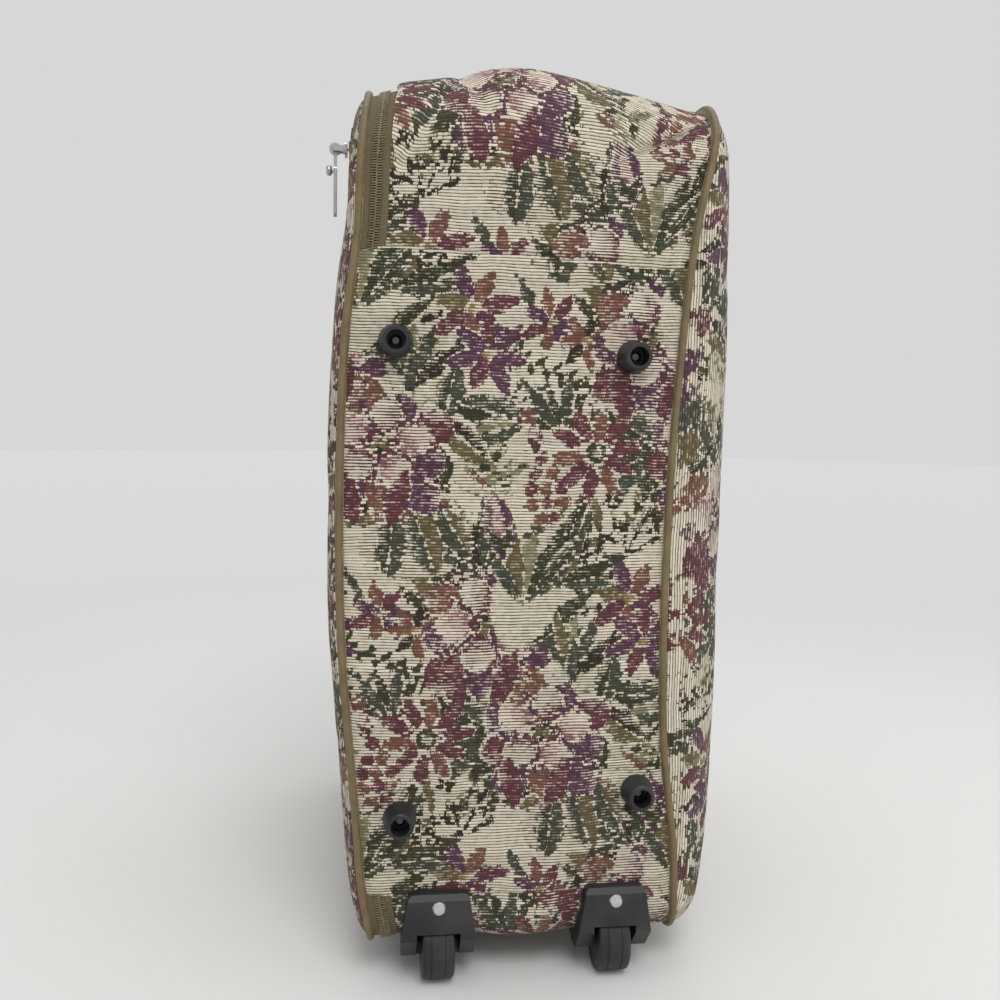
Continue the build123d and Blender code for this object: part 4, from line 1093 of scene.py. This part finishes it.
class SUITCASE_OT_side_cloth(bpy.types.Operator):
    """Models the padded tapestry side wall that runs round the case"""

    bl_idname = "suitcase.side_cloth"
    bl_label = "Side cloth"

    def outline_rows(self, lines):
        """Rows of the cloth, close together on the feet side, with a pair at each end of the hinge."""
        fine, mid, rough = 2 * MM, 3 * MM, 4 * MM
        rows = lines.rows((rough, fine, fine, fine, mid, rough, rough, rough, rough))
        size = sizes()
        low, high = ((z - lines.base - lines.base_radius) / lines.run[2] for z in (size.hinge_low, size.hinge_high))
        near = rows[:, 0] == 2
        for end in (low, high):
            rows = rows[~(near & (np.abs(rows[:, 1] - end) < 0.002))]
            near = rows[:, 0] == 2
        pairs = [(2, end + shift) for end in (low, high) for shift in (-0.0006, 0.0006)]
        rows = np.vstack([rows, pairs])
        rows = rows[np.lexsort((rows[:, 1], rows[:, 0]))]
        return rows, (rows[:, 0] == 2) & (rows[:, 1] > low) & (rows[:, 1] < high)

    def swell(self, lines, x, y, z, s, edge):
        """How far the padded cloth stands out of its flat wall."""
        flat = np.stack(np.broadcast_arrays(x, y, z), axis=-1)
        seat = ease(clearance(flat, SEATED), 0.0, 0.03)
        top_turn = sum(lines.run[:4])
        near_start = lines.run[0]
        near_side = ease(s, near_start - 0.05, near_start + 0.05) * (1 - ease(s, top_turn, top_turn + 0.12))
        crown = (1.2 + 2.2 * near_side) * ease(edge, 0.0, 0.075)
        drawn = -1.6 * np.exp(-edge / (4 * MM))
        waves = (0.5 + 0.6 * near_side) * noise(x, s, 0.11, 3) * ease(edge, 0.0, 0.02)
        height = lines.near_height(s)
        puff = 5 + 10 * hill(x, -0.006, 0.045)
        puff = puff * hill(s, top_turn - 0.006, 0.062) * (1 - 1.4 * ease(x, 0.03, 0.115))
        fold = -2.6 * hill(x + 0.042 + 0.35 * (height - 0.63), 0.0, 0.007) * hill(s, top_turn - 0.03, 0.05)
        above = height - self.hinge_seam(x)
        seams = -1.3 * hill(above, 0.0, 0.0022) - 1.2 * hill(height, sizes().hinge_low, 0.0022)
        seams = seams + 0.8 * hill(above, 0.006, 0.004)
        soft = crown + waves + puff + fold + self.pinch(x, height) + near_side * seams
        return MM * (seat * soft + drawn)

    def hinge_seam(self, x):
        """Height of the seam over the cloth hinge, which runs down a little towards the back."""
        return 0.5165 - 0.04 * x

    def pinch(self, x, height):
        """The deep crease with the ridge under it, the zipper's dart, and short folds out of the crease, in mm."""
        along, aside = self.crease(x, height)
        pinch = -5.4 * hill(aside, 0.0, 0.0065) * ease(along, -0.012, 0.012) * (1 - ease(along, 0.034, 0.05))
        dart_run = ease(height, 0.55, 0.575) * (1 - ease(height, 0.635, 0.66))
        pinch = pinch - 2.2 * hill(self.dart(x, height), 0.0, 0.006) * dart_run
        pinch = pinch + 2.2 * hill(aside, -0.017, 0.012) * ease(along, -0.01, 0.02) * (1 - ease(along, 0.04, 0.064))
        pinch = pinch - 2.6 * hill(np.hypot(along, aside), 0.0, 0.01)
        for turn, reach in ((2.5, 0.05), (3.3, 0.042), (4.4, 0.036)):
            way = along * math.cos(turn) + aside * math.sin(turn)
            off = aside * math.cos(turn) - along * math.sin(turn)
            fold_run = ease(way, 0.0, 0.012) * (1 - ease(way, 0.4 * reach, reach))
            pinch = pinch - 1.8 * hill(off, 0.0, 0.0048) * fold_run
        return pinch

    def crease(self, x, height):
        """Ways along and across the deep crease under the back's top corner."""
        x, height = x - 0.067, height - 0.587
        return 0.87 * x + 0.493 * height, 0.87 * height - 0.493 * x

    def dart(self, x, height):
        """Way towards the zipper from the slack fold beside its top end."""
        return 0.496 * (height - 0.629) - 0.868 * (x + 0.058)

    def rib_slope(self, x, height):
        """How far the ribs run down towards the back, where the top end's cloth is slack."""
        strip = ease(height, 0.521, 0.6) * (1 - ease(height, 0.66, 0.8))
        aside = self.crease(x, height)[1]
        over = ease(aside, -0.001, 0.004) * (1 - ease(aside, 0.03, 0.08))
        left = np.clip(self.dart(x, height), 0.0, 0.04)
        slope = 0.09 * np.clip(x + 0.03, 0.0, 0.1) + 0.34 * over * np.maximum(x - 0.05, 0)
        return strip * (slope - 0.42 * left * ease(left, 0.0, 0.008))

    def wheel_wells(self, points, out):
        """Pushes the cloth back behind the moulded wheel wells."""
        radius, half_width = 31 * MM, 19.9 * MM
        for name in WHEELS:
            x, y, z = np.moveaxis(points - box_middle(name), -1, 0)
            inside = (np.abs(x) < half_width) & (np.hypot(y, z) < radius)
            along = y * out[..., 0] + z * out[..., 1]
            way = along + np.sqrt(np.maximum(along**2 - y**2 - z**2 + radius**2, 0))
            points[..., 1] -= np.where(inside, way, 0) * out[..., 0]
            points[..., 2] -= np.where(inside, way, 0) * out[..., 1]

    def execute(self, context):
        lines, size = CaseLines(), sizes()
        rows, hinge = self.outline_rows(lines)
        y, z, out_y, out_z = (v[:, None] for v in lines.ring(rows))
        s = lines.distance(rows)[:, None]
        front = lines.front(y, z) + np.where(hinge[:, None], 0.4 * MM, size.zip_width)
        back = lines.back(y, z)
        x = front + (back - front) * np.linspace(0, 1, 113)[None, :]
        edge = np.minimum(x - front, back - x)
        swell = self.swell(lines, x, y, z, s, edge)
        outer = np.stack(np.broadcast_arrays(x, y + out_y * swell, z + out_z * swell), axis=-1)
        hold = np.maximum(1 - ease(clearance(outer, SEATED), 0.0, 0.014), edge < MM)
        lift = settle(outer, hold, (5, 4), 4.5 * MM, 41, closed=True)
        outer = outer + np.stack(np.broadcast_arrays(0 * lift, out_y * lift, out_z * lift), axis=-1)
        inner_share = np.concatenate([np.linspace(1, 0.12, 8), np.linspace(0.1, 0, 12)])[None, :]
        inner_x = front + (back - front) * inner_share
        inner = np.stack(np.broadcast_arrays(inner_x, y - out_y * size.wall, z - out_z * size.wall), axis=-1)
        out = np.broadcast_to(np.concatenate([out_y, out_z], axis=1)[:, None, :], (*outer.shape[:2], 2))
        self.wheel_wells(outer, out)
        outer[..., 2] -= lines.slump(x, y, z)
        points = np.concatenate([outer, inner], axis=1)
        piece = sheet_mesh("side_cloth", points, close_rows=True, close_columns=True)
        across = np.concatenate([x, inner_x], axis=1)
        along = np.broadcast_to(s, across.shape)
        height = lines.near_height(along)
        cloth_map(piece, across, along + self.rib_slope(across, height))
        middle = (height < self.hinge_seam(across)) & (height > size.hinge_low)
        hinge_cloth = thread_fields(across, height, -0.010, 0.455)
        strip_cloth = thread_fields(across, height, 0.074, 0.697)
        woven(piece, np.where(middle.ravel(), hinge_cloth, strip_cloth))
        smooth(piece, 50)
        lined_tapestry(piece)
        inside = np.arange(len(piece.data.polygons)) % points.shape[1] >= outer.shape[1]
        piece.data.polygons.foreach_set("material_index", inside.astype(np.int32))
        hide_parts("side_wall")
        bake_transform(piece)
        return {"FINISHED"}


class SUITCASE_OT_panels(bpy.types.Operator):
    """Models the padded tapestry lid and the pillowed back panel"""

    bl_idname = "suitcase.panels"
    bl_label = "Lid and back cloth"

    def unrolled(self, points, axis):
        """Length along the cloth's surface from its middle, along one direction of the grid."""
        way = np.cumsum(np.linalg.norm(np.diff(points, axis=axis), axis=-1), axis=axis)
        way = np.insert(way, 0, 0.0, axis=axis)
        return way - np.take(way, [way.shape[axis] // 2], axis=axis)

    def panel(self, lines, name, face, lid):
        y, z = lines.face_grid(3 * MM)
        x = face(y, z)
        depth = lines.edge_distance(y, z)
        ripple = 0.9 * MM * noise(y, z, 0.13, 11 if lid else 12) * ease(depth, 0.01, 0.06)
        if lid:
            ripple = ripple * ease(lines.top - z, 0.06, 0.12)
        x = x + ripple
        points = np.stack([x, y, z], axis=-1)
        hold = 1 - ease(depth, 0.0, 0.01)
        if lid:
            hold = np.maximum(hold, 1 - ease(lines.top - z, 0.055, 0.075))
        lift = settle(points, hold, (3, 3), 5 * MM, 42 if lid else 43, flip=lid)
        points[..., 0] += -lift if lid else lift
        points[..., 2] -= lines.slump(x, y, z)
        piece = sheet_mesh(name, points, flip=lid)
        across, up = self.unrolled(points, 1), self.unrolled(points, 0)
        cloth_map(piece, up, across)
        fields = thread_fields(-across, up, 0.02, 0.0) if lid else thread_fields(across, up, -0.05, 0.0)
        woven(piece, fields)
        choose(piece)
        lined_tapestry(piece)
        solid = piece.modifiers.new("padding", "SOLIDIFY")
        solid.thickness, solid.offset = 4 * MM, -1.0
        solid.material_offset = solid.material_offset_rim = 1
        bpy.ops.object.modifier_apply(modifier="padding")
        smooth(piece)
        return piece

    def execute(self, context):
        lines = CaseLines()
        lid = self.panel(lines, "lid_cloth", lines.lid_face, True)
        dress(lid, tapestry(), "tapestry", "lid", "lid_panel")
        back = self.panel(lines, "back_cloth", lines.back_face, False)
        dress(back, tapestry(), "tapestry", "case", "back_panel")
        return {"FINISHED"}


class SUITCASE_OT_pipings(bpy.types.Operator):
    """Models the vinyl piping along both seams"""

    bl_idname = "suitcase.pipings"
    bl_label = "Pipings"

    def execute(self, context):
        lines, size = CaseLines(), sizes()
        straight, bend = 4 * MM, 2 * MM
        rows = lines.rows((straight, bend) * 4 + (straight,))
        y, z, out_y, out_z = (v[:, None] for v in lines.ring(rows))
        s = lines.distance(rows)[:, None]
        turn = np.linspace(0, 2 * math.pi, 15)[None, :-1]
        corner = (rows[:, 0] % 2 == 1)[:, None] * np.sin(math.pi * rows[:, 1:])
        crimp = 0.14 * MM * corner * np.sin(s * 2 * math.pi / (6 * MM))
        radius = size.piping * (1 + 0.03 * noise(s, 0 * s, 0.03, 5)) + crimp
        for name, seam, side, body, node in (
            ("lid_piping_cord", lines.front, -1, "lid", "lid_piping"),
            ("back_piping_cord", lines.back, 1, "case", "back_piping"),
        ):
            middle = seam(y, z) + side * size.piping
            out = radius * np.cos(turn)
            x = middle + radius * np.sin(turn)
            points = np.stack([x, y + out_y * out, z + out_z * out], axis=-1)
            points[..., 2] -= lines.slump(middle, y, z)
            piece = sheet_mesh(name, points, close_rows=True, close_columns=True, flip=True)
            smooth(piece, 80)
            dress(piece, piping_vinyl(), "tan_vinyl", body, node)
        return {"FINISHED"}


class SUITCASE_OT_main_zipper(bpy.types.Operator):
    """Models the main zipper: two woven tapes and two rows of coil teeth"""

    bl_idname = "suitcase.main_zipper"
    bl_label = "Main zipper"

    def track(self, lines, step):
        """Places along the zipper, from the hinge's upper end over the top, the far side and the bottom."""
        size = sizes()
        spans = np.concatenate([[0.0], np.cumsum(lines.run)])
        start, turn = (spans[2] + z - lines.base - lines.base_radius for z in (size.hinge_high, size.hinge_low))
        finish = spans[-1] + turn
        s = np.arange(start - 2 * MM, finish + 2 * MM, step) % spans[-1]
        run = np.clip(np.searchsorted(spans, s, side="right") - 1, 0, 8)
        rows = np.stack([run, (s - spans[run]) / np.array(lines.run)[run]], axis=-1)
        return lines.ring(rows)

    def tape(self, lines, name, low, high):
        step = 4 * MM
        y, z, out_y, out_z = (v[:, None] for v in self.track(lines, step))
        share = np.array([0.0, 0.35, 0.7, 1.0, 1.0, 0.7, 0.35, 0.0])[None, :]
        drop = np.array([0.9, 0.8, 1.0, 1.4, 2.4, 2.2, 2.0, 2.1])[None, :] * MM
        x = lines.front(y, z) + low + (high - low) * share
        points = np.stack(np.broadcast_arrays(x, y - out_y * drop, z - out_z * drop - lines.slump(x, y, z)), axis=-1)
        piece = sheet_mesh(name, points, close_columns=True, flip=low > high)
        cloth_map(piece, x, np.arange(len(y))[:, None] * step)
        smooth(piece, 50)
        return piece

    def teeth(self, lines, name, low, high, shift):
        """Each tooth is a small rounded bar across its half of the chain."""
        pitch = sizes().tooth_pitch
        y, z, out_y, out_z = (v[shift::2] for v in self.track(lines, pitch / 2))
        front = lines.front(y, z)
        corners = ((-1, -2.4), (-1, -0.3), (-0.55, 0.5), (0.55, 0.5), (1, -0.3), (1, -2.4))
        along, up = (np.array(corners) * (0.32 * pitch, MM)).T[:, None, :]
        count, sides = len(y), len(corners)
        points = np.empty((count, 2, sides, 3))
        for end, x in enumerate((low, high)):
            points[:, end, :, 0] = (front + x)[:, None]
            points[:, end, :, 1] = y[:, None] + out_y[:, None] * up - out_z[:, None] * along
            points[:, end, :, 2] = z[:, None] + out_z[:, None] * up + out_y[:, None] * along
            points[:, end, :, 2] -= lines.slump(front + x, y, z)[:, None]
        tooth = bar_faces(sides)
        faces = [tuple(2 * sides * t + corner for corner in face) for t in range(count) for face in tooth]
        piece = new_piece(name, points.reshape(-1, 3).tolist(), faces)
        edit_all(piece, bpy.ops.mesh.normals_make_consistent, inside=False)
        smooth(piece, 40)
        return piece

    def execute(self, context):
        lines, size = CaseLines(), sizes()
        middle = size.zip_width / 2
        tape = self.tape(lines, "lid_zip_tape", 0.0, middle - 0.5 * MM)
        dress(tape, zip_tape(), "zip_tape", "lid", "zip_tape_lid")
        tape = self.tape(lines, "body_zip_tape", size.zip_width, middle + 0.5 * MM)
        dress(tape, zip_tape(), "zip_tape", "case", "zip_tape_body")
        teeth = self.teeth(lines, "lid_zip_coil", middle - 3.7 * MM, middle + 0.5 * MM, 0)
        dress(teeth, zip_coil(), "zip_coil", "lid", "zip_teeth_lid")
        teeth = self.teeth(lines, "body_zip_coil", middle - 0.5 * MM, middle + 3.7 * MM, 1)
        dress(teeth, zip_coil(), "zip_coil", "case", "zip_teeth_body")
        return {"FINISHED"}


class SUITCASE_OT_pocket_zipper(bpy.types.Operator):
    """Models the lid pocket's zipper: its tape and two rows of teeth"""

    bl_idname = "suitcase.pocket_zipper"
    bl_label = "Pocket zipper"

    def execute(self, context):
        lines = CaseLines()
        (_, low_y, low_z), (_, high_y, high_z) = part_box("pocket_zip_tape")
        mid_z = (low_z + high_z) / 2
        y = np.linspace(low_y, high_y, 113)[:, None]
        half = (high_z - low_z) / 2
        rise = np.array([-1, -1, -0.5, -0.14, 0.14, 0.5, 1, 1])[None, :] * half
        proud = np.array([-0.8, 0.7, 0.9, 0.8, 0.8, 0.9, 0.7, -0.8])[None, :] * MM
        x = lines.lid_face(y, mid_z + rise) - proud
        points = np.stack(np.broadcast_arrays(x, y, mid_z + rise), axis=-1)
        tape = sheet_mesh("pocket_tape", points, flip=True)
        cloth_map(tape, rise, y)
        smooth(tape, 50)
        dress(tape, zip_tape(), "zip_tape", "lid", "pocket_zip_tape")
        pitch = sizes().tooth_pitch
        corners = ((-0.34, 0.2), (-0.34, 1.2), (-0.18, 1.8), (0.18, 1.8), (0.34, 1.2), (0.34, 0.2))
        tooth = bar_faces(len(corners))
        bars, faces = [], []
        for row, side in enumerate((-1, 1)):
            for y0 in np.arange(low_y + 2 * MM + row * pitch / 2, high_y - 2 * MM, pitch):
                first = len(bars)
                seat = float(lines.lid_face(np.array(y0), np.array(mid_z)))
                for dz in (-0.3 * MM * side, 3.4 * MM * side):
                    bars += [(seat - dx * MM, y0 + dy * pitch, mid_z + dz) for dy, dx in corners]
                faces += [tuple(first + corner for corner in face) for face in tooth]
        coil = new_piece("pocket_coil", bars, faces)
        edit_all(coil, bpy.ops.mesh.normals_make_consistent, inside=False)
        smooth(coil, 40)
        dress(coil, zip_coil(), "zip_coil", "lid", "pocket_zip_teeth")
        return {"FINISHED"}


class SUITCASE_OT_linings(bpy.types.Operator):
    """Models the body's sewn lining, the lid's lining and the lid's edge binding"""

    bl_idname = "suitcase.linings"
    bl_label = "Linings"

    def clear_wheels(self, points):
        """Pushes the lining out of the wheel wells."""
        radius, half_width = 33.5 * MM, 27 * MM
        for name in WHEELS:
            dx, dy, dz = np.moveaxis(points - box_middle(name), -1, 0)
            far = np.maximum(np.hypot(dy, dz), MM)
            push = np.where((np.abs(dx) < half_width) & (far < radius), radius / far, 1.0)
            points[..., 1] += dy * (push - 1)
            points[..., 2] += dz * (push - 1)

    def body_lining(self, lines, rows, s):
        """One skin: the lip behind the zipper, the slack walls and the back."""
        mouth = sizes().zip_width - 0.2 * MM
        inset, behind = 13.9 * MM, 7 * MM
        columns, maps = [], []
        for lip in (5.0, 8.0, 11.0, 13.0):
            y, z, _, _ = lines.ring(rows, lip * MM)
            columns.append(np.stack([lines.front(y, z) + mouth, y, z], axis=-1))
            maps.append(lip * MM - inset)
        y, z, out_y, out_z = lines.ring(rows, inset)
        start, end = lines.front(y, z) + mouth, lines.back_face(y, z) - behind
        for share in np.linspace(0.01, 0.97, 34):
            x = start + (end - start) * share
            slack = MM * (0.7 * noise(x, s, 0.05, 21) + 0.9 * noise(x, s, 0.12, 22)) * math.sin(math.pi * share)
            slack = np.maximum(slack, -0.6 * MM)
            columns.append(np.stack([x, y - out_y * slack, z - out_z * slack], axis=-1))
            maps.append(0.2 * share)
        half = (lines.far - lines.near) / 2 / MM
        for inward in (15, 18, 23, 30, 40, 52, 66, 82, 100, 120, 140, 160, 180, 194, half):
            y, z, _, _ = lines.ring(rows, inward * MM)
            x = lines.back_face(y, z) - behind - 0.8 * MM * (1 + noise(y, z, 0.08, 23))
            columns.append(np.stack([x, y, z], axis=-1))
            maps.append(0.2 + inward * MM)
        points = np.stack(columns, axis=1)
        self.clear_wheels(points)
        piece = sheet_mesh("body_lining_cloth", points, close_rows=True, flip=True)
        cloth_map(piece, np.array(maps)[None, :], s[:, None])
        smooth(piece)
        edit_all(piece, bpy.ops.mesh.remove_doubles, threshold=0.2 * MM)
        dress(piece, lining_cloth(), "lining", "case", "body_lining")

    def lid_lining(self, lines):
        """One sheet, stretched inside the lid's seam."""
        inset = 5 * MM
        y, z = lines.face_grid(6 * MM, inset)
        depth = lines.edge_distance(y, z) - inset
        x = lines.front(y, z) - 2.8 * MM - MM * (0.6 + 0.8 * noise(y, z, 0.09, 24)) * ease(depth, 0.0, 0.05)
        piece = sheet_mesh("lid_lining_cloth", np.stack([x, y, z - lines.slump(x, y, z)], axis=-1))
        cloth_map(piece, y, z)
        smooth(piece)
        dress(piece, lining_cloth(), "lining", "lid", "lid_lining")

    def edge_binding(self, lines, rows, s):
        """A woven tape round the lid's inner edge: way in from the edge, back from the seam, across the tape (mm)."""
        profile = ((0.3, -0.6, 0.0), (0.5, 0.3, 1.0), (3.0, 0.8, 3.5), (6.5, 0.4, 7.0), (9.0, -2.6, 10.5))
        strips = []
        for inward, back, _ in profile:
            y, z, _, _ = lines.ring(rows, inward * MM)
            x = lines.front(y, z) + back * MM
            strips.append(np.stack([x, y, z - lines.slump(x, y, z)], axis=-1))
        piece = sheet_mesh("lid_edge_binding", np.stack(strips, axis=1), close_rows=True)
        cloth_map(piece, np.array(profile)[None, :, 2] * MM, s[:, None])
        smooth(piece)
        dress(piece, zip_tape(), "zip_tape", "lid")

    def execute(self, context):
        lines = CaseLines()
        straight, top_bend, base_bend = 6 * MM, 5 * MM, 3 * MM
        around = (straight, base_bend, straight, top_bend, straight, top_bend, straight, base_bend, straight)
        rows = lines.rows(around)
        s = lines.distance(rows)
        self.body_lining(lines, rows, s)
        self.lid_lining(lines)
        self.edge_binding(lines, rows, s)
        return {"FINISHED"}


class SUITCASE_OT_running_gear(bpy.types.Operator):
    """Finishes the wheels, their housings and axles, and the feet"""

    bl_idname = "suitcase.running_gear"
    bl_label = "Wheels and feet"

    def execute(self, context):
        finish_nodes(black_plastic(), *HOUSINGS, *SIDE_FEET, *END_FEET)
        finish_nodes(wheel_plastic(), *WHEELS)
        finish_nodes(steel(), "axle_front", "axle_back", "foot_washers")
        finish_nodes(gunmetal(), "foot_screws")
        finish_nodes(bright_rivet(), "housing_rivets")
        return {"FINISHED"}


class SUITCASE_OT_handles(bpy.types.Operator):
    """Finishes the carrying handle, the pull tab and its ring"""

    bl_idname = "suitcase.handles"
    bl_label = "Handle and tab"

    def execute(self, context):
        finish_nodes(handle_vinyl(), "handle_grip", "pull_tab")
        finish_nodes(black_plastic(), "handle_bracket_lower", "handle_bracket_upper")
        finish_nodes(steel(), "handle_pins", "handle_rivets", "tab_rivets", "pull_ring")
        return {"FINISHED"}


class SUITCASE_OT_small_metal(bpy.types.Operator):
    """Finishes the zipper sliders and pulls, the hoops and the boards"""

    bl_idname = "suitcase.small_metal"
    bl_label = "Sliders and stiffeners"

    def execute(self, context):
        finish_nodes(gunmetal(), "zip_slider_upper", "zip_slider_lower", "zip_pull_upper", "zip_pull_lower")
        finish_nodes(steel(), "pocket_slider", "pocket_pull")
        finish_nodes(spring_steel(), "front_frame_band", "rear_frame_band")
        finish_nodes(grey_board(), "base_board", "foot_board", "handle_board")
        return {"FINISHED"}


# Level of the backdrop, which the floor fades into, and the camera's place (m) and yaw, pitch and roll (degrees).
STAGE_LEVEL = 0.68
CAMERA_PLACE = (-0.1085, -0.91205, 0.4120)
CAMERA_TURN = (-7.15, 5.08, 1.01)


class SUITCASE_OT_stage(bpy.types.Operator):
    """Sets the floor, the soft studio lights and the camera"""

    bl_idname = "suitcase.stage"
    bl_label = "Studio stage"

    def add_floor(self, context):
        bpy.ops.object.select_all(action="DESELECT")
        bpy.ops.mesh.primitive_circle_add(vertices=96, radius=9.0, fill_type="NGON", location=(0, 0, 0))
        floor = context.active_object
        floor.name = "studio_floor"
        material, tree, shader = new_finish(
            "studio_floor", Specular_IOR_Level=0.1, Roughness=0.9, Emission_Strength=1.0
        )
        tint = tuple(colours().floor)
        face = blend_colour(tree, grain(tree, 3.0, 2.0), toned(tint, 0.97), tint)
        reach = place(tree, "ShaderNodeVectorMath", {"operation": "LENGTH"}, {0: object_place(tree)})
        far = remap(tree, reach.outputs["Value"], 0.7, 1.9)
        black, level = (0.0,) * 3, (STAGE_LEVEL,) * 3
        tree.links.new(blend_colour(tree, far, face, black), shader.inputs["Base Color"])
        tree.links.new(blend_colour(tree, far, black, level), shader.inputs["Emission Color"])
        floor.data.materials.append(material)

    def add_lights(self, scene):
        scene.world = bpy.data.worlds.new("studio")
        scene.world.use_nodes = True
        background = scene.world.node_tree.nodes["Background"]
        background.inputs["Color"].default_value = (1.0, 1.0, 1.0, 1.0)
        background.inputs["Strength"].default_value = STAGE_LEVEL
        for name, spot, target, width, power in (
            ("key_light", (0.2, -2.0, 2.6), (0, 0, 0.42), 1.5, 35.0),
            ("fill_light", (1.9, -1.6, 1.2), (0, 0, 0.3), 1.6, 6.5),
            ("top_light", (0.2, 0.5, 2.8), (0, 0, 0.3), 2.0, 12.0),
        ):
            lamp = bpy.data.lights.new(name, "AREA")
            lamp.shape, lamp.size, lamp.energy = "DISK", width, power
            light = bpy.data.objects.new(name, lamp)
            scene.collection.objects.link(light)
            light.location = spot
            light.rotation_euler = (Vector(target) - Vector(spot)).to_track_quat("-Z", "Y").to_euler()

    def add_camera(self, scene):
        yaw, pitch, roll = (math.radians(angle) for angle in CAMERA_TURN)
        up = Vector((0, 0, 1))
        right = Vector((math.cos(yaw), math.sin(yaw), 0))
        ahead = Vector((-math.sin(yaw), math.cos(yaw), 0))
        look = ahead * math.cos(pitch) - up * math.sin(pitch)
        lift = up * math.cos(pitch) + ahead * math.sin(pitch)
        right, lift = right * math.cos(roll) + lift * math.sin(roll), lift * math.cos(roll) - right * math.sin(roll)
        turn = Matrix((right, lift, -look)).transposed().to_4x4()
        lens = bpy.data.cameras.new("photo_camera")
        lens.lens, lens.sensor_width, lens.clip_end = 36.0, 36.0, 60.0
        camera = bpy.data.objects.new("photo_camera", lens)
        scene.collection.objects.link(camera)
        camera.matrix_world = Matrix.Translation(CAMERA_PLACE) @ turn
        scene.camera = camera

    def execute(self, context):
        self.add_floor(context)
        self.add_lights(context.scene)
        self.add_camera(context.scene)
        context.scene.view_settings.view_transform = "Standard"
        return {"FINISHED"}


class SUITCASE_PT_panel(bpy.types.Panel):
    """Lists the suitcase's steps, sizes and colours"""

    bl_idname = "SUITCASE_PT_panel"
    bl_label = "Suitcase"
    bl_space_type = "VIEW_3D"
    bl_region_type = "UI"
    bl_category = "Suitcase"

    def draw(self, context):
        for operator in STEPS:
            self.layout.operator(operator.bl_idname)
        for group in (context.scene.suitcase_sizes, context.scene.suitcase_colours):
            box = self.layout.box()
            for name in group.__annotations__:
                box.prop(group, name)


STEPS = (
    SUITCASE_OT_side_cloth,
    SUITCASE_OT_panels,
    SUITCASE_OT_pipings,
    SUITCASE_OT_main_zipper,
    SUITCASE_OT_pocket_zipper,
    SUITCASE_OT_linings,
    SUITCASE_OT_running_gear,
    SUITCASE_OT_handles,
    SUITCASE_OT_small_metal,
    SUITCASE_OT_stage,
)
CLASSES = (SuitcaseSizes, SuitcaseColours, *STEPS, SUITCASE_PT_panel)


def register():
    for cls in CLASSES:
        bpy.utils.register_class(cls)
    bpy.types.Scene.suitcase_sizes = bpy.props.PointerProperty(type=SuitcaseSizes)
    bpy.types.Scene.suitcase_colours = bpy.props.PointerProperty(type=SuitcaseColours)


def unregister():
    del bpy.types.Scene.suitcase_colours
    del bpy.types.Scene.suitcase_sizes
    for cls in reversed(CLASSES):
        bpy.utils.unregister_class(cls)


def main():
    register()
    bpy.ops.suitcase.side_cloth()
    bpy.ops.suitcase.panels()
    bpy.ops.suitcase.pipings()
    bpy.ops.suitcase.main_zipper()
    bpy.ops.suitcase.pocket_zipper()
    bpy.ops.suitcase.linings()
    bpy.ops.suitcase.running_gear()
    bpy.ops.suitcase.handles()
    bpy.ops.suitcase.small_metal()
    bpy.ops.suitcase.stage()


if __name__ == "__main__":
    main()
